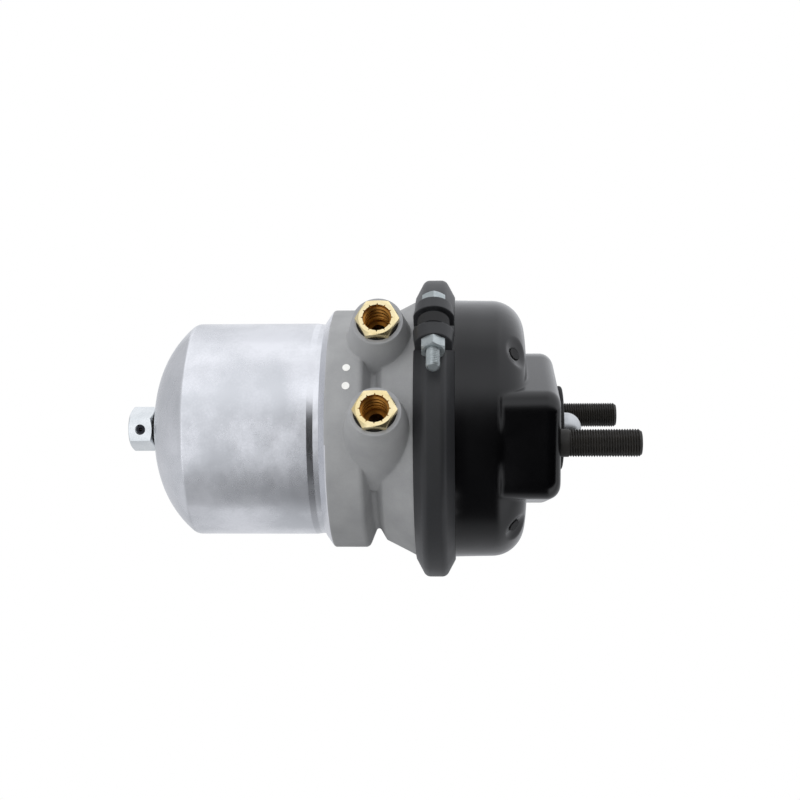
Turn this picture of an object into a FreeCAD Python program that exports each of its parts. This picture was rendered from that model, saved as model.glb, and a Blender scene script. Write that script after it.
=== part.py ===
import FreeCAD, Part
import math
import os
import re
import Sketcher

# Brake chamber for an air disc brake: a service diaphragm chamber with a spring parking chamber behind it.
# Millimetres. The origin is the centre of the mounting face, +X runs out along the push rod, +Z is up,
# and the two mounting studs stand at +Y and -Y. The ports look towards -Y.

os.makedirs("parts", exist_ok=True)
document = FreeCAD.newDocument("brake_chamber")
sheet = document.addObject("Spreadsheet::Sheet", "Sizes")

# Driving dimensions, by piece. A station is a distance behind the mounting face.
SIZES = {
    # common clearances
    "running_gap": 0.3,
    "fitting_gap": 0.1,
    "thread_gap": 0.05,
    # working stroke of the rod and of the spring piston
    "stroke": 57,
    # service housing: pressed steel cup with a lozenge nose
    "nose_half_height": 47.5,
    "nose_end_half_height": 29,
    "nose_margin": 17.675,
    "nose_corner_radius": 12,
    "nose_edge_radius": 8,
    "nose_root_station": 34,
    "shoulder_station": 18.1,
    "shoulder_radius": 19.5,
    "service_set_in": 7.75,
    "service_taper": 0.85,
    "service_wall": 4,
    "service_floor_radius": 16,
    "rod_hole_radius": 21,
    "dent_radius": 26,
    "dent_depth": 2.6,
    "plug_radius": 3.5,
    "plug_proud": 0.6,
    "plug_depth": 6,
    # clamped joint between the two housings
    "clamp_station": 71.5,
    "flange_radius": 87,
    "flange_rim": 3.5,
    "flange_slope_length": 3.3,
    "diaphragm_thickness": 3,
    # clamp band
    "band_cover": 4.5,
    "band_thickness": 3.2,
    "band_crown_width": 12.4,
    "band_width": 23.6,
    "band_grip": 6,
    "band_shelf": 1.4,
    "band_crown_round": 4.5,
    "band_turn": 45,
    "ear_gap": 11,
    "ear_thickness": 8.2,
    "ear_radius": 11.5,
    "ear_bolt_setout": 11,
    "ear_draft": 8,
    "ear_tip_bow": 12,
    "clamp_bolt_radius": 4,
    "clamp_hole_radius": 4.4,
    "clamp_head_flats": 13,
    "clamp_head_height": 5.3,
    "clamp_nut_height": 6.8,
    "clamp_bolt_beyond": 11.5,
    "spacer_radius": 9,
    "spacer_height": 7,
    # flange housing: casting between the two chambers
    "bell_set_in": 10.8,
    "bell_station": 87.8,
    "bell_end_set_in": 17.8,
    "bell_end_station": 101.7,
    "neck_set_in": 5.9,
    "neck_station": 107.3,
    "neck_round": 2,
    "ring_wall": 8,
    "ring_front_station": 112.9,
    "ring_back_station": 133.7,
    "ring_corner_radius": 3,
    "ring_mouth_wall": 1.9,
    "ring_mouth_station": 138,
    "web_front_station": 94.5,
    "web_back_station": 118.5,
    "service_bowl_radius": 54,
    "bowl_mouth_set_in": 11,
    # ports
    "port_station": 103.5,
    "port_tilt": 31,
    "port_spread": 28,
    "port_face_rise": 3.4,
    "port_boss_radius": 14.5,
    "port_boss_draft": 12,
    "port_floor": 50,
    "port_boss_depth": 56,
    "connector_flats": 22,
    "connector_hex_height": 4.6,
    "connector_body_radius": 10,
    "connector_bore_radius": 8.2,
    "connector_bore_depth": 20,
    "connector_foot": 58,
    "connector_way_radius": 4.5,
    "claw_seat_step": 0.4,
    "claw_ring_inner_radius": 6.2,
    "claw_ring_thickness": 2,
    "seal_seat_radius": 12.2,
    "seal_seat_depth": 1.9,
    "connector_seal_wire": 0.9,
    "air_way_radius": 4,
    "air_way_rise": 1.5,
    # spring housing: deep drawn can
    "can_radius": 65.5,
    "can_wall": 3.5,
    "can_mouth_station": 119.5,
    "can_corner_station": 219,
    "can_corner_radius": 6,
    "can_end_station": 243.5,
    "dome_radius": 64,
    "can_flat_radius": 12,
    "can_end_wall": 4,
    "can_seat_radius": 17,
    "can_inner_corner_station": 217.7,
    "can_seal_station": 125.5,
    "can_seal_wire": 1.4,
    "wire_station": 131.5,
    "wire_radius": 1.1,
    # release screw, hex and their bearing
    "screw_radius": 8,
    "screw_collar_radius": 14,
    "screw_collar_length": 4,
    "screw_tip_station": 158.5,
    "screw_chamfer": 1.5,
    "stub_radius": 7.5,
    "washer_thickness": 1,
    "needle_height": 2,
    "needle_count": 12,
    "dust_seal_radius": 11.5,
    "dust_seal_length": 4,
    "hex_flats": 24,
    "hex_length": 15.2,
    "hex_pin_radius": 2.5,
    "hex_pin_bore": 1.2,
    "hex_pin_slot": 0.7,
    "hex_pin_tilt": 6,
    "hex_pin_sink": 1,
    "hex_pin_mouth_radius": 3.4,
    # spring piston and the push tube through it
    "piston_face_station": 176.5,
    "piston_floor": 6,
    "piston_skirt": 32,
    "piston_wall": 5,
    "piston_hub_radius": 22,
    "piston_hub_length": 18,
    "piston_floor_round": 5,
    "lip_seal_width": 6,
    "lip_seal_depth": 2.8,
    "lip_seal_setback": 4,
    "guide_ring_width": 5,
    "guide_ring_depth": 2.4,
    "guide_ring_setback": 22,
    "tube_radius": 15,
    "tube_wall": 2.5,
    "tube_front_station": 91,
    "tube_back_station": 225.5,
    "end_plug_length": 7,
    "retainer_length": 3,
    "nut_length": 14,
    # guide bush and seals in the hub
    "bush_wall": 1.7,
    "bush_length": 11,
    "bush_station": 100.5,
    "tube_seal_spacing": 2.5,
    # diaphragm, push plate, rod
    "diaphragm_sag": 13.3,
    "diaphragm_margin": 2,
    "diaphragm_bend_radius": 6,
    "plate_radius": 49,
    "plate_thickness": 3,
    "plate_rim_height": 2.4,
    "rod_radius": 9.5,
    "rod_reach": 18,
    "rod_foot_radius": 16,
    "rod_foot_height": 7,
    "rod_foot_round": 5,
    # springs
    "power_seat_station": 227.2,
    "power_wire": 5.5,
    "power_coil_gap": 2,
    "power_turns": 2.7,
    "return_wire": 1.9,
    "return_foot_radius": 43,
    "return_head_radius": 33,
    "return_turns": 4.5,
    # studs
    "stud_circle": 120.65,
    "stud_radius": 8,
    "stud_knurl_radius": 8.6,
    "stud_reach": 46.4,
    "stud_chamfer": 1.5,
    "stud_head_radius": 11,
    "stud_head_height": 5,
    # rod boot
    "boot_lip_radius": 26,
    "boot_recess_depth": 1.2,
    "boot_lip_round": 1.5,
    "boot_lip_height": 5.8,
    "boot_depth": 8,
    "boot_wall": 2.2,
    "boot_ring_radius": 25,
    "boot_ring_thickness": 1.6,
    # paint dots on the casting
    "dot_radius": 2.25,
    "dot_thickness": 0.25,
    "dot_station": 121.9,
    "dot_first_angle": 53.5,
    "dot_second_angle": 62.5,
}

# sizes that follow from the sheet's
BAND_RADIUS = "(flange_radius + band_cover)"
BAND_LIP_RADIUS = "(flange_radius - band_grip)"
EAR_BOLT_RADIUS = "(flange_radius + ear_bolt_setout)"
SERVICE_RADIUS = "(flange_radius - service_set_in)"
SERVICE_NOSE_RADIUS = "(flange_radius - service_set_in - service_taper)"
BELL_RADIUS = "(flange_radius - bell_set_in)"
BELL_END_RADIUS = "(flange_radius - bell_end_set_in)"
BOWL_MOUTH = "(flange_radius - bowl_mouth_set_in)"
PORT_FACE = "(flange_radius + port_face_rise)"
RING_RADIUS = "(can_radius + ring_wall)"
RING_MOUTH_RADIUS = "(can_radius + ring_mouth_wall)"
NECK_RADIUS = "(can_radius - neck_set_in)"
NOSE_HALF_WIDTH = "(stud_circle / 2 + nose_margin)"
DIAPHRAGM_FLAT_RADIUS = "(plate_radius + diaphragm_margin)"
POWER_COIL_RADIUS = "(can_radius - can_wall - piston_wall - power_wire - power_coil_gap)"

for row, (alias, size) in enumerate(SIZES.items(), start=1):
    sheet.set(f"A{row}", alias)
    sheet.set(f"B{row}", str(size))
    sheet.setAlias(f"B{row}", alias)
document.recompute()


def number(expression):
    """The value of an expression of the sheet's sizes."""
    return float(sheet.evalExpression(str(expression)))


def bound(expression):
    """The same expression as another object writes it, with the sheet's name before each size."""
    return re.sub(r"\b(?!pi\b)([a-z]\w*)\b(?!\()", r"Sizes.\1", str(expression))


def bind(thing, **expressions):
    """Bind properties of an object to expressions of the sheet's sizes."""
    for name, expression in expressions.items():
        thing.setExpression(name, bound(expression))


def put(thing, along="0", across="0", up="0", axis=None, turn="0"):
    """Bind an object's place, and its turn in degrees about an axis."""
    if axis is not None:
        thing.Placement.Rotation = FreeCAD.Rotation(FreeCAD.Vector(*axis), number(turn))
    for name, expression in (("x", along), ("y", across), ("z", up)):
        thing.setExpression(f"Placement.Base.{name}", bound(expression))
    if axis is not None:
        thing.setExpression("Placement.Rotation.Angle", bound(turn))
    return thing


def new_body(label):
    """An empty body for one piece."""
    piece = document.addObject("PartDesign::Body", label)
    piece.Label = label
    return piece


def new_sketch(piece, name, role, lift=None, turn=None):
    """A sketch on one of the body's own planes, lifted off it and turned about its own first axis if asked."""
    sketch = piece.newObject("Sketcher::SketchObject", name)
    plane = [feature for feature in piece.Origin.OriginFeatures if feature.Role == role][0]
    sketch.AttachmentSupport = [(plane, "")]
    sketch.MapMode = "FlatFace"
    if turn is not None:
        tilted = FreeCAD.Rotation(FreeCAD.Vector(1, 0, 0), number(turn))
        sketch.AttachmentOffset = FreeCAD.Placement(FreeCAD.Vector(), tilted)
        sketch.setExpression("AttachmentOffset.Rotation.Angle", bound(turn))
    if lift is not None:
        slope = turn if turn is not None else "0"
        sketch.setExpression("AttachmentOffset.Base.y", bound(f"-sin({slope}) * ({lift})"))
        sketch.setExpression("AttachmentOffset.Base.z", bound(f"cos({slope}) * ({lift})"))
    return sketch


def arc_between(centre, radius, first, last, left):
    """The arc from first to last round centre, and which of its ends are its first and last."""
    ends = (first, last) if left else (last, first)
    low, high = [math.atan2(end.y - centre.y, end.x - centre.x) for end in ends]
    if high < low:
        high += 2 * math.pi
    circle = Part.Circle(centre, FreeCAD.Vector(0, 0, 1), radius)
    return Part.ArcOfCircle(circle, low, high), ((1, 2) if left else (2, 1))


def hold(sketch, geometry, end, along, across):
    """Dimension a point from the sketch's origin."""
    for kind, axis, expression in (("DistanceX", -2, along), ("DistanceY", -1, across)):
        if str(expression) == "0":
            sketch.addConstraint(Sketcher.Constraint("PointOnObject", geometry, end, axis))
            continue
        value = number(expression)
        index = sketch.addConstraint(Sketcher.Constraint(kind, -1, 1, geometry, end, value))
        sketch.setExpression(f"Constraints[{index}]", bound(expression))


def hold_radius(sketch, geometry, expression):
    """Dimension the radius of an arc or circle."""
    index = sketch.addConstraint(Sketcher.Constraint("Radius", geometry, number(expression)))
    sketch.setExpression(f"Constraints[{index}]", bound(expression))


def draw(sketch, points):
    """Draw a closed outline through points, each a pair of expressions.

    A third expression rounds the corner there with that radius. ("bow", radius, side) between two points
    makes the stretch between them an arc, which turns left where side is 1 and right where it is -1.
    """
    corners = [point for point in points if point[0] != "bow"]
    bows = {}
    for place, point in enumerate(points):
        if point[0] == "bow":
            bows[place - 1 - len(bows)] = point[1:]
    count = len(corners)
    spots = [FreeCAD.Vector(number(corner[0]), number(corner[1]), 0) for corner in corners]
    starts = list(spots)
    ends = [spots[(i + 1) % count] for i in range(count)]
    rounds = {}
    for i, corner in enumerate(corners):
        if len(corner) < 3:
            continue
        radius = number(corner[2])
        back = (spots[i - 1] - spots[i]).normalize()
        ahead = (spots[(i + 1) % count] - spots[i]).normalize()
        half = back.getAngle(ahead) / 2
        starts[i] = spots[i] + ahead * (radius / math.tan(half))
        ends[i - 1] = spots[i] + back * (radius / math.tan(half))
        centre = spots[i] + (back + ahead).normalize() * (radius / math.sin(half))
        rounds[i] = (centre, radius, back.cross(ahead).z < 0)
    edges = []
    for i in range(count):
        if i not in bows:
            edges.append((sketch.addGeometry(Part.LineSegment(starts[i], ends[i]), False), 1, 2))
            continue
        radius, side = number(bows[i][0]), bows[i][1]
        chord = ends[i] - starts[i]
        rise = math.sqrt(max(radius ** 2 - chord.Length ** 2 / 4, 0))
        left = FreeCAD.Vector(-chord.y, chord.x, 0).normalize()
        centre = (starts[i] + ends[i]) * 0.5 + left * rise * side
        curve, (first, last) = arc_between(centre, radius, starts[i], ends[i], side > 0)
        edges.append((sketch.addGeometry(curve, False), first, last))
        hold_radius(sketch, edges[-1][0], bows[i][0])
    for i, corner in enumerate(corners):
        before, _, before_end = edges[i - 1]
        after, after_start, _ = edges[i]
        if i not in rounds:
            sketch.addConstraint(Sketcher.Constraint("Coincident", before, before_end, after, after_start))
            hold(sketch, after, after_start, corner[0], corner[1])
            continue
        centre, radius, left = rounds[i]
        curve, (first, last) = arc_between(centre, radius, ends[i - 1], starts[i], left)
        bend = sketch.addGeometry(curve, False)
        sketch.addConstraint(Sketcher.Constraint("Tangent", before, before_end, bend, first))
        sketch.addConstraint(Sketcher.Constraint("Tangent", bend, last, after, after_start))
        hold_radius(sketch, bend, corner[2])
        tip = sketch.addGeometry(Part.Point(spots[i]), True)
        hold(sketch, tip, 1, corner[0], corner[1])
        sketch.addConstraint(Sketcher.Constraint("PointOnObject", tip, 1, before))
        sketch.addConstraint(Sketcher.Constraint("PointOnObject", tip, 1, after))
    return sketch


def draw_circle(sketch, along, across, radius):
    """Draw a circle round a point."""
    middle = FreeCAD.Vector(number(along), number(across), 0)
    ring = sketch.addGeometry(Part.Circle(middle, FreeCAD.Vector(0, 0, 1), number(radius)), False)
    hold(sketch, ring, 3, along, across)
    hold_radius(sketch, ring, radius)
    return sketch


def feature(piece, kind, name, sketch, **expressions):
    """A feature of the body made from a sketch."""
    made = piece.newObject(f"PartDesign::{kind}", name)
    made.Profile = sketch
    sketch.Visibility = False
    if kind in ("Revolution", "Groove"):
        made.ReferenceAxis = (sketch, ["H_Axis"])
        made.Angle = 360
    bind(made, **expressions)
    return made


def edges_at(shape, test):
    """The names of the edges whose middle point passes a test."""
    names = []
    for index, edge in enumerate(shape.Edges, start=1):
        middle = edge.valueAt((edge.FirstParameter + edge.LastParameter) / 2)
        if test(edge, middle):
            names.append(f"Edge{index}")
    return names


def soften(piece, kind, name, base, size, test):
    """A fillet or chamfer on the edges of a feature whose middle point passes a test."""
    document.recompute()
    made = piece.newObject(f"PartDesign::{kind}", name)
    made.Base = (base, edges_at(base.Shape, test))
    bind(made, **{("Radius" if kind == "Fillet" else "Size"): size})
    return made


def turned(label, points):
    """A piece that is one outline turned round the rod's axis."""
    piece = new_body(label)
    feature(piece, "Revolution", f"{label}_turned", draw(new_sketch(piece, f"{label}_outline", "XZ_Plane"), points))
    return piece


def solid(kind, name, **expressions):
    """A primitive, with its sizes bound to the sheet."""
    made = document.addObject(f"Part::{kind}", name)
    bind(made, **expressions)
    return made


def fused(name, *things):
    """Several solids joined into one."""
    made = document.addObject("Part::MultiFuse", name)
    made.Shapes = list(things)
    return made


def cut(name, base, tool):
    """A solid less another."""
    made = document.addObject("Part::Cut", name)
    made.Base = base
    made.Tool = tool
    return made


def group(label, *things):
    """Separate solids of one kind, kept together as one node."""
    made = document.addObject("Part::Compound", label)
    made.Links = list(things)
    made.Label = label
    return made


def named(thing, label):
    """Give a finished solid its node's name."""
    thing.Label = label
    return thing


def eight_sided(middle, radius, wire):
    """The section of a round wire or seal, drawn with eight flats so that its ring or coil stays light."""
    turns = [45 * k + 22.5 for k in range(8)]
    return [(f"{middle} + {wire} * cos({turn})", f"{radius} + {wire} * sin({turn})") for turn in turns]


def ring(label, radius, wire, station):
    """A sealing ring or wire ring on the rod's axis."""
    return turned(label, eight_sided(f"-({station})", radius, wire))


# Spring housing, the can: a deep drawn cup, domed at its end, with a groove for the retaining wire.
def spring_housing():
    bore = "can_radius - can_wall"
    flat_inside = "-(can_end_station - can_end_wall)"
    screw_hole = "screw_radius + running_gap"
    piece = turned("spring_housing", [
        ("-can_mouth_station", "can_radius"),
        ("-can_corner_station", "can_radius"),
        ("bow", "dome_radius", 1),
        ("-can_end_station", "can_flat_radius"),
        ("-can_end_station", screw_hole),
        (flat_inside, screw_hole),
        (flat_inside, "can_seat_radius"),
        ("bow", "dome_radius - can_wall", -1),
        ("-can_inner_corner_station", bore),
        ("-can_mouth_station", bore),
    ])
    outer = soften(piece, "Fillet", "outer_crease", piece.Tip, "can_corner_radius",
                   lambda edge, middle: abs(middle.x + number("can_corner_station")) < 0.01)
    soften(piece, "Fillet", "inner_crease", outer, "can_corner_radius - can_wall",
           lambda edge, middle: abs(middle.x + number("can_inner_corner_station")) < 0.01)
    groove = new_sketch(piece, "wire_groove_outline", "XZ_Plane")
    draw_circle(groove, "-wire_station", "can_radius", "wire_radius + fitting_gap / 2")
    feature(piece, "Groove", "wire_groove", groove)
    return piece


# The bore in the hub of the casting, which holds the guide bush and the seals round the push tube.
HUB_BORE = "(tube_radius + running_gap + bush_wall)"

# Ring, web, neck and bell of the casting, turned in one outline, before the ports and the hollows.
FLANGE_FACE = "clamp_station + diaphragm_thickness / 2"
CASTING_OUTLINE = [
    (f"-({FLANGE_FACE})", "0"),
    (f"-({FLANGE_FACE})", "flange_radius"),
    (f"-({FLANGE_FACE} + flange_rim)", "flange_radius"),
    (f"-({FLANGE_FACE} + flange_rim + flange_slope_length)", f"{BAND_LIP_RADIUS} - 2 * running_gap"),
    ("-bell_station", BELL_RADIUS),
    ("-bell_end_station", BELL_END_RADIUS, "neck_round"),
    ("-neck_station", NECK_RADIUS, "neck_round"),
    ("-ring_front_station", RING_RADIUS, "ring_corner_radius"),
    ("-ring_back_station", RING_RADIUS, "neck_round"),
    ("-ring_mouth_station", RING_MOUTH_RADIUS),
    ("-ring_mouth_station", "0"),
]


# Flange housing: the aluminium casting between the two chambers, with both port bosses.
def flange_housing():
    piece = new_body("flange_housing")
    feature(piece, "Revolution", "casting", draw(new_sketch(piece, "casting_outline", "XZ_Plane"), CASTING_OUTLINE))

    # each boss stands on the web and leans with the ports, and runs out into the casting with a round
    for side, place in (("upper", "port_spread"), ("lower", "-port_spread")):
        boss = new_sketch(piece, f"{side}_boss_outline", "XZ_Plane", lift=PORT_FACE, turn="-port_tilt")
        draw_circle(boss, "-port_station", place, "port_boss_radius")
        made = feature(piece, "Pad", f"{side}_boss", boss, Length="port_boss_depth", TaperAngle="port_boss_draft")
        made.Reversed = True

    # chamber behind the web, bowl in front of it, and the hub's bore with its seal groove
    rear = draw(new_sketch(piece, "rear_chamber_outline", "XZ_Plane"), [
        ("-ring_mouth_station", "0"),
        ("-ring_mouth_station", "can_radius + fitting_gap"),
        ("-web_back_station", "can_radius + fitting_gap"),
        ("-web_back_station", "0"),
    ])
    feature(piece, "Groove", "rear_chamber", rear)
    bowl = draw(new_sketch(piece, "bowl_outline", "XZ_Plane"), [
        ("-clamp_station", "0"),
        ("-clamp_station", BOWL_MOUTH),
        (f"-({FLANGE_FACE} + flange_rim)", BOWL_MOUTH, "neck_round"),
        ("-web_front_station", "service_bowl_radius", "neck_round"),
        ("-web_front_station", "0"),
    ])
    feature(piece, "Groove", "service_bowl", bowl)
    bore = draw(new_sketch(piece, "hub_bore_outline", "XZ_Plane"), [
        ("-clamp_station", "0"),
        ("-clamp_station", HUB_BORE),
        ("-ring_back_station", HUB_BORE),
        ("-ring_back_station", "0"),
    ])
    feature(piece, "Groove", "hub_bore", bore)
    seats = (("can_seal", "can_seal_station", "can_radius + can_seal_wire", "can_seal_wire + fitting_gap"),
             ("wire", "wire_station", "can_radius", "wire_radius + fitting_gap"))
    for name, station, radius, wire in seats:
        seat = new_sketch(piece, f"{name}_groove_outline", "XZ_Plane")
        draw_circle(seat, f"-{station}", radius, wire)
        feature(piece, "Groove", f"{name}_groove", seat)

    # port bores, the chamfered seat for the seal ring, and the two air ways, one to each chamber
    for side, place in (("upper", "port_spread"), ("lower", "-port_spread")):
        mouth = new_sketch(piece, f"{side}_bore_outline", "XZ_Plane", lift=PORT_FACE, turn="-port_tilt")
        draw_circle(mouth, "-port_station", place, "connector_body_radius + thread_gap")
        feature(piece, "Pocket", f"{side}_bore", mouth, Length=f"{PORT_FACE} - port_floor")
        seat = new_sketch(piece, f"{side}_seat_outline", "XZ_Plane", lift=PORT_FACE, turn="-port_tilt")
        draw_circle(seat, "-port_station", place, "seal_seat_radius")
        feature(piece, "Pocket", f"{side}_seat", seat, Length="seal_seat_depth")
    reach = "port_floor + air_way_radius + air_way_rise"
    ways = (("parking", "port_spread", "web_back_station", True), ("service", "-port_spread", "port_station", True))
    for name, place, station, toward_front in ways:
        way = new_sketch(piece, f"{name}_way_outline", "YZ_Plane")
        way.setExpression("AttachmentOffset.Base.z", bound(f"-{station} - fitting_gap"))
        across = f"-cos(port_tilt) * ({reach}) + sin(port_tilt) * ({place})"
        up = f"sin(port_tilt) * ({reach}) + cos(port_tilt) * ({place})"
        draw_circle(way, across, up, "air_way_radius")
        length = "web_back_station - port_station" if name == "parking" else "port_station - web_front_station"
        hole = feature(piece, "Pocket", f"{name}_way", way, Length=f"{length} + 2 * fitting_gap")
        hole.Reversed = toward_front
    return piece


def set_on_port(piece, place):
    """Set a body, turned on its own X axis and measured from the rod's axis outwards, on a port's axis."""
    tilt = math.radians(number("port_tilt"))
    return put(piece, along="-port_station", across=f"sin(port_tilt) * ({place})", up=f"cos(port_tilt) * ({place})",
               axis=(0, -math.sin(tilt), -math.cos(tilt)), turn="90")


# Push-in port connector: brass body with a hexagon outside and a stepped bore. It is turned on its own X axis,
# measured from the rod's axis outwards, and set into its boss.
def port_connector(label, place):
    piece = new_body(label)
    top = f"{PORT_FACE} + connector_hex_height"
    turned_part = draw(new_sketch(piece, f"{label}_outline", "XZ_Plane"), [
        ("connector_foot", "connector_way_radius"),
        (f"{top} - connector_bore_depth - claw_ring_thickness", "connector_way_radius"),
        (f"{top} - connector_bore_depth - claw_ring_thickness", "connector_bore_radius + claw_seat_step"),
        (f"{top} - connector_bore_depth", "connector_bore_radius + claw_seat_step"),
        (f"{top} - connector_bore_depth", "connector_bore_radius"),
        (top, "connector_bore_radius"),
        (top, "connector_body_radius"),
        ("connector_foot", "connector_body_radius"),
    ])
    feature(piece, "Revolution", f"{label}_turned", turned_part)
    hexagon = new_sketch(piece, f"{label}_hexagon", "YZ_Plane")
    hexagon.setExpression("AttachmentOffset.Base.z", bound(PORT_FACE))
    corner = "connector_flats / sqrt(3)"
    draw(hexagon, [
        (f"{corner} * cos({60 * k} - port_tilt)", f"{corner} * sin({60 * k} - port_tilt)") for k in range(6)
    ])
    draw_circle(hexagon, "0", "0", "connector_body_radius")
    pad = feature(piece, "Pad", f"{label}_hex", hexagon, Length="connector_hex_height")
    soften(piece, "Chamfer", f"{label}_hex_chamfer", pad, "running_gap * 2",
           lambda edge, middle: middle.x > number(top) - 0.01 and edge.Curve.TypeId == "Part::GeomLine")
    return set_on_port(piece, place)


# A ring on a port's axis, at a distance from the rod's axis: a seal ring or a claw ring.
def on_port(thing, place, reach):
    """Set a primitive, whose own axis is Z, on a port's axis."""
    across = f"-cos(port_tilt) * ({reach}) + sin(port_tilt) * ({place})"
    up = f"sin(port_tilt) * ({reach}) + cos(port_tilt) * ({place})"
    return put(thing, along="-port_station", across=across, up=up, axis=(1, 0, 0), turn="90 - port_tilt")


def connector_rings():
    seals, claws = [], []
    claw_reach = f"{PORT_FACE} + connector_hex_height - connector_bore_depth - claw_ring_thickness"
    for side, place in (("upper", "port_spread"), ("lower", "-port_spread")):
        seal = turned(f"{side}_connector_seal", eight_sided(
            f"{PORT_FACE} - connector_seal_wire", "connector_body_radius + connector_seal_wire + fitting_gap",
            "connector_seal_wire"))
        seals.append(set_on_port(seal, place))
        disc = solid("Cylinder", f"{side}_claw_disc", Radius="connector_bore_radius + claw_seat_step",
                     Height="claw_ring_thickness")
        eye = solid("Cone", f"{side}_claw_eye", Radius1="claw_ring_inner_radius", Height="claw_ring_thickness",
                    Radius2="(claw_ring_inner_radius + connector_bore_radius) / 2")
        claws.append(cut(f"{side}_claw_ring", on_port(disc, place, claw_reach), on_port(eye, place, claw_reach)))
    return group("connector_seal_rings", *seals), group("connector_claw_rings", *claws)


# One half of the clamp band: a V section bent through half a circle, with an ear for a bolt at each end.
def clamp_band(label, turn):
    piece = new_body(label)
    middle = "-clamp_station"
    crown, lip = "band_crown_width / 2", "band_width / 2"
    inner = f"{BAND_RADIUS} - band_thickness"
    section = draw(new_sketch(piece, f"{label}_section", "XZ_Plane"), [
        (f"{middle} - {lip}", BAND_LIP_RADIUS),
        (f"{middle} - {crown}", BAND_RADIUS, "band_crown_round"),
        (f"{middle} + {crown}", BAND_RADIUS, "band_crown_round"),
        (f"{middle} + {lip}", BAND_LIP_RADIUS),
        (f"{middle} + {lip} - band_thickness", BAND_LIP_RADIUS),
        (f"{middle} + {crown} - band_shelf", inner, "band_crown_round - band_thickness"),
        (f"{middle} - {crown} + band_shelf", inner, "band_crown_round - band_thickness"),
        (f"{middle} - {lip} + band_thickness", BAND_LIP_RADIUS),
    ])
    bent = feature(piece, "Revolution", f"{label}_bent", section)
    bent.Midplane = True
    bent.setExpression("Angle", bound(f"180 - ear_gap / {BAND_LIP_RADIUS} * 180 / pi"))
    ears = new_sketch(piece, f"{label}_ears", "XY_Plane", lift="ear_gap / 2")
    for side in (1, -1):
        left, right = f"{middle} - {side} * ear_radius", f"{middle} + {side} * ear_radius"
        foot = f"{side} * ({BAND_RADIUS} - band_thickness / 2)"
        centre = f"{side} * {EAR_BOLT_RADIUS}"
        draw(ears, [(left, foot), (left, centre), ("bow", "ear_tip_bow", -1), (right, centre), (right, foot)])
    feature(piece, "Pad", f"{label}_ear_blocks", ears, Length="ear_thickness", TaperAngle="-ear_draft")
    holes = new_sketch(piece, f"{label}_holes", "XY_Plane", lift="ear_gap / 2 + ear_thickness")
    for side in (1, -1):
        draw_circle(holes, middle, f"{side} * {EAR_BOLT_RADIUS}", "clamp_hole_radius")
    feature(piece, "Pocket", f"{label}_bolt_holes", holes, Length="ear_thickness")
    return put(piece, axis=(1, 0, 0), turn=turn)


def at_joint(thing, side, lift):
    """Set a primitive, whose own axis is Z, on a clamp bolt's axis, a distance above the joint."""
    reach = f"{side} * {EAR_BOLT_RADIUS}"
    lean = FreeCAD.Rotation(FreeCAD.Vector(1, 0, 0), -number("band_turn"))
    # a hexagon's corner points outwards, so its flats stand square to the rod
    thing.Placement.Rotation = lean * FreeCAD.Rotation(FreeCAD.Vector(0, 0, 1), 90)
    return put(thing, along="-clamp_station", across=f"cos(band_turn) * ({reach}) + sin(band_turn) * ({lift})",
               up=f"cos(band_turn) * ({lift}) - sin(band_turn) * ({reach})")


def clamp_fasteners():
    bolts, nuts, spacers = [], [], []
    ear = "(ear_gap / 2 + ear_thickness)"
    for name, side in (("near", -1), ("far", 1)):
        tip = f"-{ear} - clamp_nut_height - clamp_bolt_beyond"
        shank = solid("Cylinder", f"{name}_bolt_shank", Radius="clamp_bolt_radius", Height=f"{ear} - ({tip})")
        head = solid("Prism", f"{name}_bolt_head", Circumradius="clamp_head_flats / sqrt(3)",
                     Height="clamp_head_height")
        head.Polygon = 6
        bolts.append(fused(f"{name}_bolt", at_joint(shank, side, tip), at_joint(head, side, ear)))
        blank = solid("Prism", f"{name}_nut_blank", Circumradius="clamp_head_flats / sqrt(3)",
                      Height="clamp_nut_height")
        blank.Polygon = 6
        thread = solid("Cylinder", f"{name}_nut_thread", Radius="clamp_bolt_radius + thread_gap",
                       Height="clamp_nut_height")
        foot = f"-{ear} - clamp_nut_height"
        nuts.append(cut(f"{name}_nut", at_joint(blank, side, foot), at_joint(thread, side, foot)))
        block = solid("Cylinder", f"{name}_spacer_block", Radius="spacer_radius", Height="spacer_height")
        hole = solid("Cylinder", f"{name}_spacer_hole", Radius="clamp_hole_radius", Height="spacer_height")
        spacers.append(cut(f"{name}_spacer", at_joint(block, side, "-ear_gap / 2"),
                           at_joint(hole, side, "-ear_gap / 2")))
    return group("clamp_bolts", *bolts), group("clamp_nuts", *nuts), group("clamp_spacers", *spacers)


# Service housing: a pressed cup whose closed end stands out as a lozenge, flat for the caliper's face.
def lozenge(sketch, inset):
    """The lozenge of the nose, drawn a wall's thickness inside its outer form where asked."""
    width = f"{NOSE_HALF_WIDTH} - {inset}"
    end = f"nose_end_half_height - {inset}"
    top = f"nose_half_height - {inset}"
    corner = f"nose_corner_radius - {inset}"
    return draw(sketch, [
        (width, end, corner), ("0", top, top), (f"-({width})", end, corner),
        (f"-({width})", f"-({end})", corner), ("0", f"-({top})", top), (width, f"-({end})", corner),
    ])


def drain_line(quarter):
    """The direction out of the shoulder where a drain lies, and a place along it from the shoulder's centre."""
    turn = math.radians(45 + 90 * quarter)
    slope = math.sqrt(0.5)
    direction = FreeCAD.Vector(slope, slope * math.cos(turn), slope * math.sin(turn))

    def at(thing, reach):
        radius = f"({SERVICE_NOSE_RADIUS} - shoulder_radius + {slope} * ({reach}))"
        thing.Placement.Rotation = FreeCAD.Rotation(FreeCAD.Vector(0, 0, 1), direction)
        return put(thing, along=f"-(shoulder_station + shoulder_radius) + {slope} * ({reach})",
                   across=f"{radius} * {math.cos(turn)}", up=f"{radius} * {math.sin(turn)}")
    return at


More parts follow.
